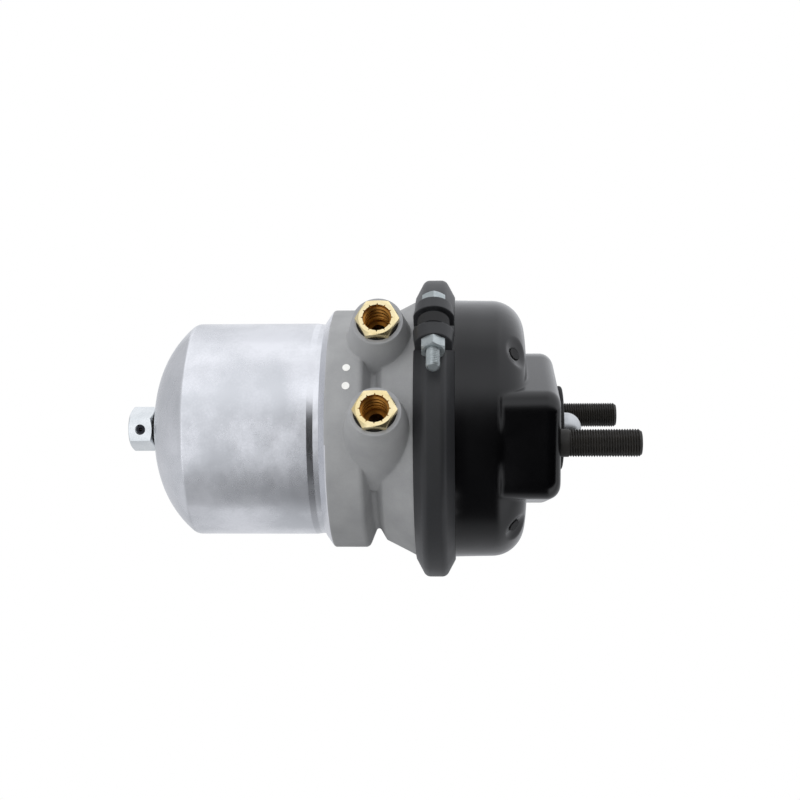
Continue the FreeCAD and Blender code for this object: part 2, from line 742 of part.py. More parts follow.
def service_housing():
    piece = new_body("service_shell")
    face = "-(clamp_station - diaphragm_thickness / 2"
    cup = draw(new_sketch(piece, "cup_outline", "XZ_Plane"), [
        (f"{face})", "0"),
        (f"{face})", "flange_radius"),
        (f"{face} - flange_rim)", "flange_radius"),
        (f"{face} - flange_rim - flange_slope_length)", f"{BAND_LIP_RADIUS} - 2 * running_gap"),
        (f"{face} - flange_rim - 2 * flange_slope_length)", SERVICE_RADIUS),
        ("-shoulder_station", SERVICE_NOSE_RADIUS, "shoulder_radius"),
        ("-shoulder_station", "0"),
    ])
    feature(piece, "Revolution", "cup", cup)
    nose = feature(piece, "Pad", "nose", lozenge(new_sketch(piece, "nose_outline", "YZ_Plane"), "0"),
                   Length="nose_root_station")
    nose.Reversed = True
    soften(piece, "Fillet", "nose_edge", nose, "nose_edge_radius", lambda edge, middle: middle.x > -0.01)
    hollow = draw(new_sketch(piece, "hollow_outline", "XZ_Plane"), [
        ("-clamp_station", "0"),
        ("-clamp_station", f"{SERVICE_RADIUS} - service_wall"),
        ("-(shoulder_station + service_wall)", f"{SERVICE_NOSE_RADIUS} - service_wall", "service_floor_radius"),
        ("-(shoulder_station + service_wall)", "0"),
    ])
    feature(piece, "Groove", "hollow", hollow)
    inside = new_sketch(piece, "nose_hollow_outline", "YZ_Plane")
    inside.setExpression("AttachmentOffset.Base.z", bound("-service_wall"))
    feature(piece, "Pocket", "nose_hollow", lozenge(inside, "service_wall"),
            Length="nose_root_station - 2 * service_wall")
    holes = new_sketch(piece, "face_holes", "YZ_Plane")
    draw_circle(holes, "0", "0", "rod_hole_radius")
    draw_circle(holes, "stud_circle / 2", "0", "stud_knurl_radius + thread_gap")
    draw_circle(holes, "-stud_circle / 2", "0", "stud_knurl_radius + thread_gap")
    feature(piece, "Pocket", "face_holes_cut", holes, Length="service_wall")
    recess = draw_circle(new_sketch(piece, "boot_recess_outline", "YZ_Plane"), "0", "0", "boot_lip_radius + fitting_gap")
    feature(piece, "Pocket", "boot_recess", recess, Length="boot_recess_depth")
    drains, plugs = [], []
    floor = "(shoulder_radius - dent_depth)"
    for quarter in range(4):
        at = drain_line(quarter)
        drain = solid("Cylinder", f"drain_{quarter + 1}", Radius="plug_radius", Height="service_wall + plug_depth")
        dent = solid("Sphere", f"dent_{quarter + 1}", Radius="dent_radius")
        drains.extend((at(drain, f"{floor} - plug_depth"), at(dent, f"{floor} + dent_radius")))
        plug = solid("Cylinder", f"drain_plug_{quarter + 1}", Radius="plug_radius",
                     Height="service_wall - dent_depth / 2 + plug_proud")
        plugs.append(at(plug, f"{floor} - service_wall + dent_depth / 2"))
    shell = named(cut("service_housing", piece, fused("drains", *drains)), "service_housing")
    return shell, group("drain_plugs", *plugs)


# Mounting studs: round head pressed against the inside of the face, plain neck, chamfered end.
def mounting_studs():
    studs = []
    for name, side in (("near", -1), ("far", 1)):
        stud = new_body(f"{name}_stud")
        outline = draw(new_sketch(stud, f"{name}_stud_outline", "XZ_Plane"), [
            ("-(service_wall + stud_head_height)", "0"),
            ("-(service_wall + stud_head_height)", "stud_head_radius", "stud_chamfer"),
            ("-service_wall", "stud_head_radius"),
            ("-service_wall", "stud_knurl_radius"),
            ("0", "stud_knurl_radius"),
            ("0", "stud_radius"),
            ("stud_reach - stud_chamfer", "stud_radius"),
            ("stud_reach", "stud_radius - stud_chamfer"),
            ("stud_reach", "0"),
        ])
        feature(stud, "Revolution", f"{name}_stud_turned", outline)
        studs.append(put(stud, across=f"{side} * stud_circle / 2"))
    return group("mounting_studs", *studs)


# Rubber boot that wipes the rod, and the steel ring that holds it in the face from inside.
def rod_boot():
    wipe = "rod_radius + running_gap"
    boot = turned("rod_boot", [
        ("-boot_depth", wipe),
        ("-boot_depth", f"{wipe} + boot_wall"),
        ("-(service_wall - boot_wall)", "rod_hole_radius - 2 * boot_wall", "boot_wall"),
        ("-service_wall", "rod_hole_radius - boot_wall / 2"),
        ("-service_wall", "rod_hole_radius"),
        ("-boot_recess_depth", "rod_hole_radius"),
        ("-boot_recess_depth", "boot_lip_radius"),
        ("boot_lip_height", "boot_lip_radius", "boot_lip_round"),
        ("boot_lip_height", "rod_hole_radius", "boot_lip_round"),
        ("boot_recess_depth", "rod_hole_radius - boot_wall / 2", "boot_lip_round / 2"),
        ("-boot_wall / 2", "rod_hole_radius - 2 * boot_wall"),
        ("-(boot_depth - boot_wall) / 2", wipe),
    ])
    seat = turned("boot_retaining_ring", [
        ("-service_wall", "rod_hole_radius - boot_wall / 2"),
        ("-service_wall", "boot_ring_radius"),
        ("-(service_wall + boot_ring_thickness)", "boot_ring_radius"),
        ("-(service_wall + boot_ring_thickness)", "rod_hole_radius - boot_wall / 2"),
    ])
    return boot, seat


# Diaphragm, push plate and rod. The rod is shown fully in, with the diaphragm drawn back.
DIAPHRAGM_FACE = "-(clamp_station + diaphragm_sag)"


def diaphragm():
    half = "diaphragm_thickness / 2"
    back = f"{DIAPHRAGM_FACE} - diaphragm_thickness"
    return turned("diaphragm", [
        (f"-clamp_station - {half}", "flange_radius - running_gap"),
        (f"-clamp_station + {half}", "flange_radius - running_gap"),
        (f"-clamp_station + {half}", f"{SERVICE_RADIUS} - service_wall - diaphragm_thickness", "diaphragm_bend_radius"),
        (DIAPHRAGM_FACE, DIAPHRAGM_FLAT_RADIUS, "diaphragm_bend_radius / 2"),
        (DIAPHRAGM_FACE, "0"),
        (back, "0"),
        (back, DIAPHRAGM_FLAT_RADIUS, "diaphragm_bend_radius"),
        (f"-clamp_station - {half}", f"{SERVICE_RADIUS} - service_wall - 2 * diaphragm_thickness",
         "diaphragm_bend_radius / 2"),
    ])


def push_rod_and_plate():
    plate_front = f"({DIAPHRAGM_FACE} + running_gap + plate_thickness)"
    plate = turned("push_plate", [
        (f"{DIAPHRAGM_FACE} + running_gap", "0"),
        (f"{DIAPHRAGM_FACE} + running_gap", "plate_radius", "plate_thickness / 2"),
        (f"{plate_front} + plate_rim_height", "plate_radius"),
        (f"{plate_front} + plate_rim_height", "plate_radius - plate_thickness"),
        (plate_front, "plate_radius - plate_thickness", "plate_thickness / 2"),
        (plate_front, "0"),
    ])
    rod = turned("push_rod", [
        (plate_front, "0"),
        (plate_front, "rod_foot_radius"),
        (f"{plate_front} + rod_foot_height / 2", "rod_foot_radius"),
        (f"{plate_front} + rod_foot_height", "rod_radius", "rod_foot_round"),
        ("rod_reach - rod_radius", "rod_radius"),
        ("bow", "rod_radius", -1),
        ("rod_reach", "0"),
    ])
    return plate, rod


# Spring piston: a cup that runs in the can, with a lip seal and a guide ring in grooves outside.
PISTON_OUTER = "can_radius - can_wall - running_gap"


def spring_piston():
    back = "-(piston_face_station + piston_skirt)"
    inside = f"{PISTON_OUTER} - piston_wall"
    floor = "-(piston_face_station + piston_floor)"
    piece = turned("spring_piston", [
        ("-piston_face_station", "tube_radius"),
        ("-piston_face_station", PISTON_OUTER, "piston_floor_round / 2"),
        (back, PISTON_OUTER),
        (back, inside),
        (floor, inside, "piston_floor_round"),
        (floor, "piston_hub_radius", "piston_floor_round / 2"),
        ("-(piston_face_station + piston_hub_length)", "piston_hub_radius"),
        ("-(piston_face_station + piston_hub_length)", "tube_radius"),
    ])
    made = [piece]
    for name, label in (("lip_seal", "piston_lip_seal"), ("guide_ring", "piston_guide_ring")):
        front = f"-(piston_face_station + {name}_setback)"
        end = f"-(piston_face_station + {name}_setback + {name}_width)"
        rim = f"{PISTON_OUTER} + running_gap"
        depth = f"{PISTON_OUTER} - {name}_depth"
        slot = draw(new_sketch(piece, f"{name}_slot_outline", "XZ_Plane"), [
            (front, depth), (front, rim), (end, rim), (end, depth),
        ])
        feature(piece, "Groove", f"{name}_slot", slot)
        made.append(turned(label, [
            (front, depth), (front, PISTON_OUTER), (end, PISTON_OUTER), (end, depth),
        ]))
    return made


# Push tube through the hub, closed in front by a plug and at the back by the ring that stops the release nut.
def push_tube():
    bore = "tube_radius - tube_wall"
    tube = turned("push_tube", [
        ("-tube_front_station", bore), ("-tube_front_station", "tube_radius"),
        ("-tube_back_station", "tube_radius"), ("-tube_back_station", bore),
    ])
    plug = turned("tube_end_plug", [
        ("-tube_front_station", "0"),
        ("-tube_front_station", bore),
        ("-(tube_front_station + end_plug_length)", bore),
        ("-(tube_front_station + end_plug_length)", "0"),
    ])
    retainer = turned("nut_retainer", [
        ("-tube_back_station", "screw_radius + running_gap"),
        ("-tube_back_station", bore),
        ("-(tube_back_station - retainer_length)", bore),
        ("-(tube_back_station - retainer_length)", "screw_radius + running_gap"),
    ])
    return tube, plug, retainer


def hub_fittings():
    bush = turned("guide_bush", [
        ("-bush_station", "tube_radius + running_gap"),
        ("-bush_station", HUB_BORE),
        ("-(bush_station + bush_length)", HUB_BORE),
        ("-(bush_station + bush_length)", "tube_radius + running_gap"),
    ])
    seals = []
    for name, station in (("front", "bush_station - tube_seal_spacing"),
                          ("rear", "bush_station + bush_length + tube_seal_spacing")):
        seals.append(ring(f"{name}_tube_seal", "tube_radius + running_gap + bush_wall / 2", "bush_wall / 2", station))
    return bush, group("tube_seals", *seals)


# Release screw with its collar, the needle thrust bearing behind it, the nut, and the hexagon pinned outside.
def release_gear():
    inside = "(can_end_station - can_end_wall)"
    collar_back = f"({inside} - 2 * washer_thickness - needle_height)"
    outer = "(can_end_station + dust_seal_length)"
    screw = turned("release_screw", [
        (f"-({outer} + hex_length - screw_chamfer)", "0"),
        (f"-({outer} + hex_length - screw_chamfer)", "stub_radius"),
        (f"-({outer})", "stub_radius"),
        (f"-({outer})", "screw_radius"),
        (f"-{collar_back}", "screw_radius"),
        (f"-{collar_back}", "screw_collar_radius"),
        (f"-({collar_back} - screw_collar_length)", "screw_collar_radius"),
        (f"-({collar_back} - screw_collar_length)", "screw_radius"),
        ("-(screw_tip_station + screw_chamfer)", "screw_radius"),
        ("-screw_tip_station", "screw_radius - screw_chamfer"),
        ("-screw_tip_station", "0"),
    ])
    washers = []
    for name, station in (("front", collar_back), ("rear", f"({inside} - washer_thickness)")):
        disc = solid("Cylinder", f"{name}_washer_disc", Radius="screw_collar_radius", Height="washer_thickness")
        eye = solid("Cylinder", f"{name}_washer_eye", Radius="screw_radius + running_gap", Height="washer_thickness")
        for thing in (disc, eye):
            put(thing, along=f"-({station} + washer_thickness)", axis=(0, 1, 0), turn="90")
        washers.append(cut(f"{name}_washer", disc, eye))
    needles = []
    pitch_radius = "(screw_radius + running_gap + screw_collar_radius) / 2"
    middle = f"-({collar_back} + washer_thickness + needle_height / 2)"
    for k in range(int(number("needle_count"))):
        turn = 2 * math.pi * k / number("needle_count")
        outward = FreeCAD.Vector(0, math.cos(turn), math.sin(turn))
        needle = solid("Cylinder", f"needle_{k + 1}", Radius="needle_height / 2",
                       Height="(screw_collar_radius - screw_radius) / 2")
        needle.Placement.Rotation = FreeCAD.Rotation(FreeCAD.Vector(0, 0, 1), outward)
        foot = f"({pitch_radius} - (screw_collar_radius - screw_radius) / 4)"
        needles.append(put(needle, along=middle, across=f"{foot} * {math.cos(turn)}", up=f"{foot} * {math.sin(turn)}"))
    seal = turned("release_dust_seal", [
        ("-can_end_station", "screw_radius + running_gap"),
        ("-can_end_station", "dust_seal_radius"),
        (f"-({outer} - running_gap)", "dust_seal_radius"),
        (f"-({outer} - running_gap)", "screw_radius + running_gap"),
    ])
    nut = turned("release_nut", [
        ("-(tube_back_station - retainer_length - running_gap)", "screw_radius + thread_gap"),
        ("-(tube_back_station - retainer_length - running_gap)", "tube_radius - tube_wall - running_gap"),
        ("-(tube_back_station - retainer_length - running_gap - nut_length)", "tube_radius - tube_wall - running_gap"),
        ("-(tube_back_station - retainer_length - running_gap - nut_length)", "screw_radius + thread_gap"),
    ])
    return [screw, group("thrust_washers", *washers), group("bearing_needles", *needles), seal, nut]


def release_hex():
    outer = "(can_end_station + dust_seal_length)"
    piece = new_body("hex_blank")
    face = new_sketch(piece, "hex_outline", "YZ_Plane")
    face.setExpression("AttachmentOffset.Base.z", bound(f"-({outer} + hex_length)"))
    corner = "hex_flats / sqrt(3)"
    draw(face, [
        (f"{corner} * cos({60 * k + 30} - hex_pin_tilt)", f"{corner} * sin({60 * k + 30} - hex_pin_tilt)")
        for k in range(6)
    ])
    pad = feature(piece, "Pad", "hex_prism", face, Length="hex_length")
    document.recompute()
    trims = []
    for name, station, turn in (("outer", f"-({outer} + hex_length)", "90"), ("inner", f"-({outer})", "-90")):
        cone = solid("Cone", f"{name}_hex_trim", Radius1="hex_flats / 2", Radius2="hex_flats / 2 + hex_length",
                     Height="hex_length / 2")
        trims.append(put(cone, along=station, axis=(0, 1, 0), turn=turn))
    # the corners are turned down to a cone at both ends
    turned_corners = document.addObject("Part::Common", "hex_turned")
    turned_corners.Base = piece
    turned_corners.Tool = fused("hex_trims", *trims)
    stub = solid("Cylinder", "hex_bore", Radius="stub_radius", Height="hex_length - screw_chamfer")
    put(stub, along=f"-({outer} + hex_length - screw_chamfer)", axis=(0, 1, 0), turn="90")
    drilled = cut("hex_drilled", turned_corners, stub)
    pin_station = f"-({outer} + hex_length / 2)"

    def across_flats(thing, reach):
        return put(thing, along=pin_station, across=f"-cos(hex_pin_tilt) * ({reach})",
                   up=f"sin(hex_pin_tilt) * ({reach})", axis=(1, 0, 0), turn="90 - hex_pin_tilt")

    half = "hex_flats / 2"
    hole = across_flats(solid("Cylinder", "pin_hole", Radius="hex_pin_radius", Height="hex_flats"), f"-{half}")
    mouths = []
    for name, reach, low, high in (
            ("near", f"{half} - hex_pin_sink", "hex_pin_radius", "hex_pin_mouth_radius"),
            ("far", f"-{half}", "hex_pin_mouth_radius", "hex_pin_radius")):
        mouth = solid("Cone", f"{name}_pin_mouth", Radius1=low, Radius2=high, Height="hex_pin_sink")
        mouths.append(across_flats(mouth, reach))
    head = named(cut("release_hex", drilled, fused("pin_way", hole, *mouths)), "release_hex")
    screw_hole = solid("Cylinder", "screw_pin_hole", Radius="hex_pin_radius", Height="hex_flats")
    across_flats(screw_hole, f"-{half}")
    foot = f"-({half} - hex_pin_sink)"
    length = "hex_flats - 2 * hex_pin_sink"
    rod = across_flats(solid("Cylinder", "pin_blank", Radius="hex_pin_radius", Height=length), foot)
    core = across_flats(solid("Cylinder", "pin_core", Radius="hex_pin_bore", Height=length), foot)
    pin = named(cut("hex_spring_pin", rod, core), "hex_spring_pin")
    return head, pin, screw_hole


def coil_spring(label, foot, length, wire, turns, radius, head_radius):
    """A round wire spring wound along the rod's axis, from foot forwards."""
    coil = document.addObject("Part::Helix", f"{label}_line")
    bind(coil, Pitch=f"({length} - 2 * {wire}) / {turns}", Height=f"{length} - 2 * {wire}", Radius=radius)
    if head_radius != radius:
        bind(coil, Angle=f"atan(({head_radius} - {radius}) / ({length} - 2 * {wire}))")
    section = document.addObject("Part::RegularPolygon", f"{label}_wire")
    section.Polygon = 8
    bind(section, Circumradius=wire)
    put(section, along=radius, axis=(1, 0, 0), turn="90")
    spring = document.addObject("Part::Sweep", label)
    spring.Sections = [section]
    spring.Spine = (coil, [])
    spring.Solid = True
    spring.Frenet = True
    put(spring, along=f"{foot} + {wire}", axis=(0, 1, 0), turn="90")
    return named(spring, label)


def springs():
    floor = "-(piston_face_station + piston_floor)"
    seat = "-power_seat_station"
    power = coil_spring("power_spring", seat, f"({floor} - ({seat}) - running_gap)", "power_wire", "power_turns",
                        POWER_COIL_RADIUS, POWER_COIL_RADIUS)
    plate = f"({DIAPHRAGM_FACE} + plate_thickness + 2 * running_gap)"
    back = coil_spring("return_spring", plate, f"(-service_wall - {plate} - running_gap)", "return_wire",
                       "return_turns", "return_foot_radius", "return_head_radius")
    return power, back


# Paint dots on the casting's ring.
def paint_dots():
    dots = []
    for name, angle in (("first", "dot_first_angle"), ("second", "dot_second_angle")):
        dot = solid("Cylinder", f"{name}_dot", Radius="dot_radius", Height="2 * dot_thickness")
        dots.append(put(dot, along="-dot_station", across=f"-({RING_RADIUS} - dot_thickness) * sin({angle})",
                        up=f"({RING_RADIUS} - dot_thickness) * cos({angle})", axis=(1, 0, 0), turn=angle))
    ring_body = solid("Cylinder", "dot_ground", Radius=RING_RADIUS, Height="ring_back_station")
    put(ring_body, along="-ring_back_station", axis=(0, 1, 0), turn="90")
    return named(cut("paint_dots", group("dot_blanks", *dots), ring_body), "paint_dots")


def build():
    """Every piece of the chamber, in the order it would be laid out on a bench."""
    pieces = [spring_housing(), flange_housing()]
    pieces.append(port_connector("parking_port_connector", "port_spread"))
    pieces.append(port_connector("service_port_connector", "-port_spread"))
    pieces.extend(connector_rings())
    pieces.append(ring("can_seal_ring", "can_radius + can_seal_wire", "can_seal_wire", "can_seal_station"))
    pieces.append(ring("can_retaining_wire", "can_radius", "wire_radius", "wire_station"))
    pieces.append(clamp_band("clamp_band_upper", "-band_turn"))
    pieces.append(clamp_band("clamp_band_lower", "180 - band_turn"))
    pieces.extend(clamp_fasteners())
    pieces.extend(service_housing())
    pieces.append(mounting_studs())
    pieces.extend(rod_boot())
    pieces.append(diaphragm())
    pieces.extend(push_rod_and_plate())
    pieces.extend(spring_piston())
    pieces.extend(push_tube())
    pieces.extend(hub_fittings())
    screw, *rest = release_gear()
    head, pin, screw_hole = release_hex()
    drilled = cut("drilled_screw", screw, screw_hole)
    screw.Label = "screw_blank"
    pieces.extend([named(drilled, "release_screw"), *rest, head, pin])
    pieces.extend(springs())
    pieces.append(paint_dots())
    return pieces


def check_and_write(pieces):
    """Stop on any failed object or unsound shape, then write each piece to its own STEP file."""
    document.recompute()
    failed = [thing.Name for thing in document.Objects if {"Invalid", "Error"} & set(thing.State)]
    if failed:
        raise RuntimeError(f"these objects failed: {failed}")
    for piece in pieces:
        if piece.Shape.isNull() or not piece.Shape.isValid():
            raise RuntimeError(f"{piece.Label} has no sound shape")
    for piece in pieces:
        piece.Shape.exportStep(f"parts/{piece.Label}.step")
        print(f"{piece.Label}: {len(piece.Shape.Solids)} solids, {piece.Shape.Volume / 1000:.2f} cm3")


check_and_write(build())
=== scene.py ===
import logging
import math
from dataclasses import dataclass, field
from enum import Enum

import bmesh
import bpy
from mathutils import Matrix, Vector
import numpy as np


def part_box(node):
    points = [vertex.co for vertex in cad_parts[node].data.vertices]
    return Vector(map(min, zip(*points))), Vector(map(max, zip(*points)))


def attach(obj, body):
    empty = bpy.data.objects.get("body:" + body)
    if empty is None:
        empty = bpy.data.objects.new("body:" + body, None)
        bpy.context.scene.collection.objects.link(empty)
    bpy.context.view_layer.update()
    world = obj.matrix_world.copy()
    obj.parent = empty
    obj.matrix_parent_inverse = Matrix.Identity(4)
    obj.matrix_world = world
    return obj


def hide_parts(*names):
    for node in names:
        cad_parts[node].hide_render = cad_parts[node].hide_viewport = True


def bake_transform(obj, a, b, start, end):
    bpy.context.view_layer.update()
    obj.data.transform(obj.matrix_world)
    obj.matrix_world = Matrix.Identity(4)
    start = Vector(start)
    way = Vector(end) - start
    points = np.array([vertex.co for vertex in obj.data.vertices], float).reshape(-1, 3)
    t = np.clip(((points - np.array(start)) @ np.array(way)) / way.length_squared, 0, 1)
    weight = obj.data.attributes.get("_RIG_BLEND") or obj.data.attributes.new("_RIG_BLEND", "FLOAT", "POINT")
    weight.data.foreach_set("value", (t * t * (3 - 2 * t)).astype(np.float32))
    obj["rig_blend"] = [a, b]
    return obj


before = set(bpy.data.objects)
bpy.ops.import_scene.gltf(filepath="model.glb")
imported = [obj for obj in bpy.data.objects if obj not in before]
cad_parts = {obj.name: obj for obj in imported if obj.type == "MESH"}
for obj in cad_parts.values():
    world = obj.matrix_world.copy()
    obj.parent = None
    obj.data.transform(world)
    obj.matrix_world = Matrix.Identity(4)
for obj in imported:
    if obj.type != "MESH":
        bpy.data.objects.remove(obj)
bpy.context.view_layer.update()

# Looks of a combined service and spring parking brake chamber.
# Lengths are in millimetres until a mesh is made.

MM = 0.001
WELD = 0.001
CAD_WELD = 0.002
CORNER_CHAMFER = math.radians(30)
PORT_TILT = 31.0
LOG = logging.getLogger("brake_chamber")


class Pattern(Enum):
    """How a surface was made, which decides the pattern that the eye sees on it."""

    TURNED = "rings round the rod's axis"
    CAST = "fine pits and grains"
    SMOOTH = "moulded or painted skin"
    MOTTLED = "plated or coated crystals"


def linear(code: str) -> tuple[float, float, float, float]:
    """Turn an sRGB hex colour into linear RGBA.

    Args:
        code: the colour, such as "#9c9ca0".

    Returns:
        The colour as Blender's sockets take it.
    """
    parts = [int(code[i:i + 2], 16) / 255 for i in (1, 3, 5)]
    red, green, blue = [p / 12.92 if p <= 0.04045 else ((p + 0.055) / 1.055) ** 2.4 for p in parts]
    return (red, green, blue, 1.0)


def add_node(tree: bpy.types.NodeTree, kind: str, settings: dict | None = None,
             inputs: dict | None = None) -> bpy.types.Node:
    """Add a node with its settings, its values and the links into it.

    Args:
        tree: the tree that gets the node.
        kind: the node's type name.
        settings: the node's own properties.
        inputs: by socket name or number, a value or an output socket to link.

    Returns:
        The new node.
    """
    made = tree.nodes.new(kind)
    for name, value in (settings or {}).items():
        setattr(made, name, value)
    for name, value in (inputs or {}).items():
        if isinstance(value, bpy.types.NodeSocket):
            tree.links.new(value, made.inputs[name])
        else:
            made.inputs[name].default_value = value
    return made


@dataclass(frozen=True)
class Finish:
    """A surface finish: what it is made of and how its skin was made.

    Attributes:
        drift_colour: the colour that it drifts to, in grains and in wider clouds.
        roughness_drift: how much rougher it gets there.
        grain_mm: the size of a grain, or of a ring along the axis.
        drift_mm: the size of a cloud.
        relief_mm: how far the grains stand up.
        edge_mm: how widely its corners and roots look rounded.
        wave_mm: how far the clouds stand up.
        grain_share: the grains' weight beside the clouds'.
        ring_stretch: how much a turned ring is finer along the axis than round it.
        noise_range: the part of the noise that the drift spans.
    """

    name: str
    colour: str
    drift_colour: str
    pattern: Pattern
    metallic: float
    roughness: float
    roughness_drift: float
    grain_mm: float
    drift_mm: float
    relief_mm: float
    specular: float = 0.5
    edge_mm: float = 0.0
    wave_mm: float = 0.0
    grain_share: float = 0.35
    ring_stretch: float = 0.02
    noise_range: tuple[float, float] = (0.4, 0.6)

    def material(self) -> bpy.types.Material:
        """Build the finish as a material, once.

        Returns:
            The material, made on the first call and found again after it.
        """
        title = f"{self.name}_finish"
        found = bpy.data.materials.get(title)
        if found is not None:
            return found
        made = bpy.data.materials.new(title)
        made.use_nodes = True
        tree = made.node_tree
        shader = tree.nodes["Principled BSDF"]
        place = add_node(tree, "ShaderNodeTexCoord").outputs["Object"]
        # rings lie close together along the axis and run on round it
        along = 1000.0 / self.grain_mm
        round_it = along * (self.ring_stretch if self.pattern is Pattern.TURNED else 1.0)
        stretched = add_node(tree, "ShaderNodeMapping", None, {
            "Vector": place, "Scale": (along, round_it, round_it)})
        detail = 2.0 if self.pattern is Pattern.SMOOTH else 4.0
        grain = add_node(tree, "ShaderNodeTexNoise", None, {
            "Vector": stretched.outputs["Vector"], "Scale": 1.0, "Detail": detail, "Roughness": 0.6})
        if self.pattern is Pattern.MOTTLED:
            grain = add_node(tree, "ShaderNodeTexVoronoi", None, {
                "Vector": stretched.outputs["Vector"], "Scale": 1.0})
        drift = add_node(tree, "ShaderNodeTexNoise", None, {
            "Vector": place, "Scale": 1000.0 / self.drift_mm, "Detail": 3.0, "Roughness": 0.55})
        both = add_node(tree, "ShaderNodeMath", {"operation": "MULTIPLY_ADD"}, {
            0: grain.outputs[0], 1: self.grain_share, 2: drift.outputs[0]})
        low, high = self.noise_range
        spread = {"Value": both.outputs[0], "From Min": low, "From Max": high + self.grain_share}
        share = add_node(tree, "ShaderNodeMapRange", None, spread)
        mix = add_node(tree, "ShaderNodeMix", {"data_type": "RGBA"}, {
            "Factor": share.outputs[0], 6: linear(self.colour), 7: linear(self.drift_colour)})
        tree.links.new(mix.outputs[2], shader.inputs["Base Color"])
        rough = add_node(tree, "ShaderNodeMapRange", None, {
            **spread, "To Min": self.roughness, "To Max": self.roughness + self.roughness_drift})
        tree.links.new(rough.outputs[0], shader.inputs["Roughness"])
        bump = add_node(tree, "ShaderNodeBump", None, {
            "Height": grain.outputs[0], "Strength": 1.0, "Distance": self.relief_mm * MM})
        if self.wave_mm:
            # a drawn wall is never quite true, so its reflections wander
            wave = add_node(tree, "ShaderNodeBump", None, {
                "Height": drift.outputs[0], "Strength": 1.0, "Distance": self.wave_mm * MM})
            tree.links.new(wave.outputs["Normal"], bump.inputs["Normal"])
        if self.edge_mm:
            # corners and roots look filleted, as sand and paint leave them
            soft = add_node(tree, "ShaderNodeBevel", {"samples": 8}, {"Radius": self.edge_mm * MM})
            tree.links.new(soft.outputs["Normal"], bump.inputs["Normal"])
        tree.links.new(bump.outputs["Normal"], shader.inputs["Normal"])
        shader.inputs["Metallic"].default_value = self.metallic
        shader.inputs["Specular IOR Level"].default_value = self.specular
        return made


# deep drawn aluminium: bright, satin and cool, with soft dull clouds
DRAWN_ALUMINIUM = Finish("drawn_aluminium", "#ebecf0", "#d2d4d8", Pattern.MOTTLED, 1.0, 0.20, 0.12, 1.5, 42,
                         0.0012, wave_mm=0.55, grain_share=0.08)
# shot blasted aluminium casting: flat grey with a fine sandy grain
CAST_ALUMINIUM = Finish("cast_aluminium", "#a6a7a8", "#949597", Pattern.CAST, 0.1, 0.66, 0.10, 0.9, 22, 0.10,
                        specular=0.3, edge_mm=2.5)
# casting where a cutter has faced it: brighter, with tool rings
MACHINED_ALUMINIUM = Finish("machined_aluminium", "#eeeff2", "#dadbe0", Pattern.TURNED, 1.0, 0.22, 0.08,
                            0.3, 20, 0.004)
# the bosses' faces, milled and then handled: duller
FACED_ALUMINIUM = Finish("faced_aluminium", "#a9abae", "#98999c", Pattern.TURNED, 0.6, 0.45, 0.10, 0.4, 15,
                         0.01)
# free-cutting brass, turned from hexagon bar: yellow and glossy
TURNED_BRASS = Finish("turned_brass", "#fdf0c8", "#f0d99c", Pattern.TURNED, 1.0, 0.20, 0.10, 0.25, 12, 0.003)
# the same brass inside the ports, painted darker brown as painted shade in the bore
BORE_SHADE_BRASS = Finish("bore_shade_brass", "#c9924a", "#9a6527", Pattern.TURNED, 1.0, 0.36, 0.12, 0.25, 8, 0.01)
# cathodic dip paint on pressed steel: deep black, softly glossy, with a slight orange peel
BLACK_PAINT = Finish("black_dip_paint", "#040405", "#070709", Pattern.SMOOTH, 0.0, 0.15, 0.06, 1.6, 45, 0.006,
                     edge_mm=3.2)
# the same paint on the rolled band, thinner and duller
SATIN_PAINT = Finish("satin_dip_paint", "#26272a", "#1e1f21", Pattern.SMOOTH, 0.0, 0.42, 0.10, 1.2, 30, 0.01,
                     edge_mm=1.2)
# manganese phosphate on the studs: brown-black and dull
PHOSPHATE = Finish("phosphated_steel", "#25221e", "#181613", Pattern.MOTTLED, 0.0, 0.48, 0.12, 0.35, 6, 0.01)
# bright zinc plate on the clamp fasteners: pale and cool
ZINC_PLATE = Finish("zinc_plate", "#bcc3c4", "#a3abad", Pattern.MOTTLED, 0.9, 0.34, 0.14, 0.5, 5, 0.01)
# turned steel, ground or plated bright
BRIGHT_STEEL = Finish("bright_steel", "#cdd0d2", "#b7babd", Pattern.TURNED, 1.0, 0.26, 0.08, 0.25, 10, 0.008)
# bright zinc on the release hexagon: nearly white, with soft mirror faces
BRIGHT_ZINC = Finish("bright_zinc", "#f2f5f6", "#dde2e4", Pattern.MOTTLED, 1.0, 0.18, 0.08, 0.6, 9, 0.005)
# oil-blacked spring steel
SPRING_STEEL = Finish("spring_steel", "#30323a", "#24262c", Pattern.SMOOTH, 0.8, 0.38, 0.10, 0.6, 12, 0.01)
# moulded black rubber: matt, with a fine bloom
BLACK_RUBBER = Finish("black_rubber", "#0e0e0f", "#161618", Pattern.SMOOTH, 0.0, 0.68, 0.10, 0.5, 15, 0.02)
# natural nylon for the bushes and plugs
NYLON = Finish("natural_nylon", "#d8d3c2", "#cbc5b1", Pattern.SMOOTH, 0.0, 0.45, 0.08, 0.8, 10, 0.01)
# thick white marking paint
WHITE_PAINT = Finish("white_paint", "#f4f4f2", "#e9e9e6", Pattern.SMOOTH, 0.0, 0.50, 0.08, 0.8, 4, 0.02)


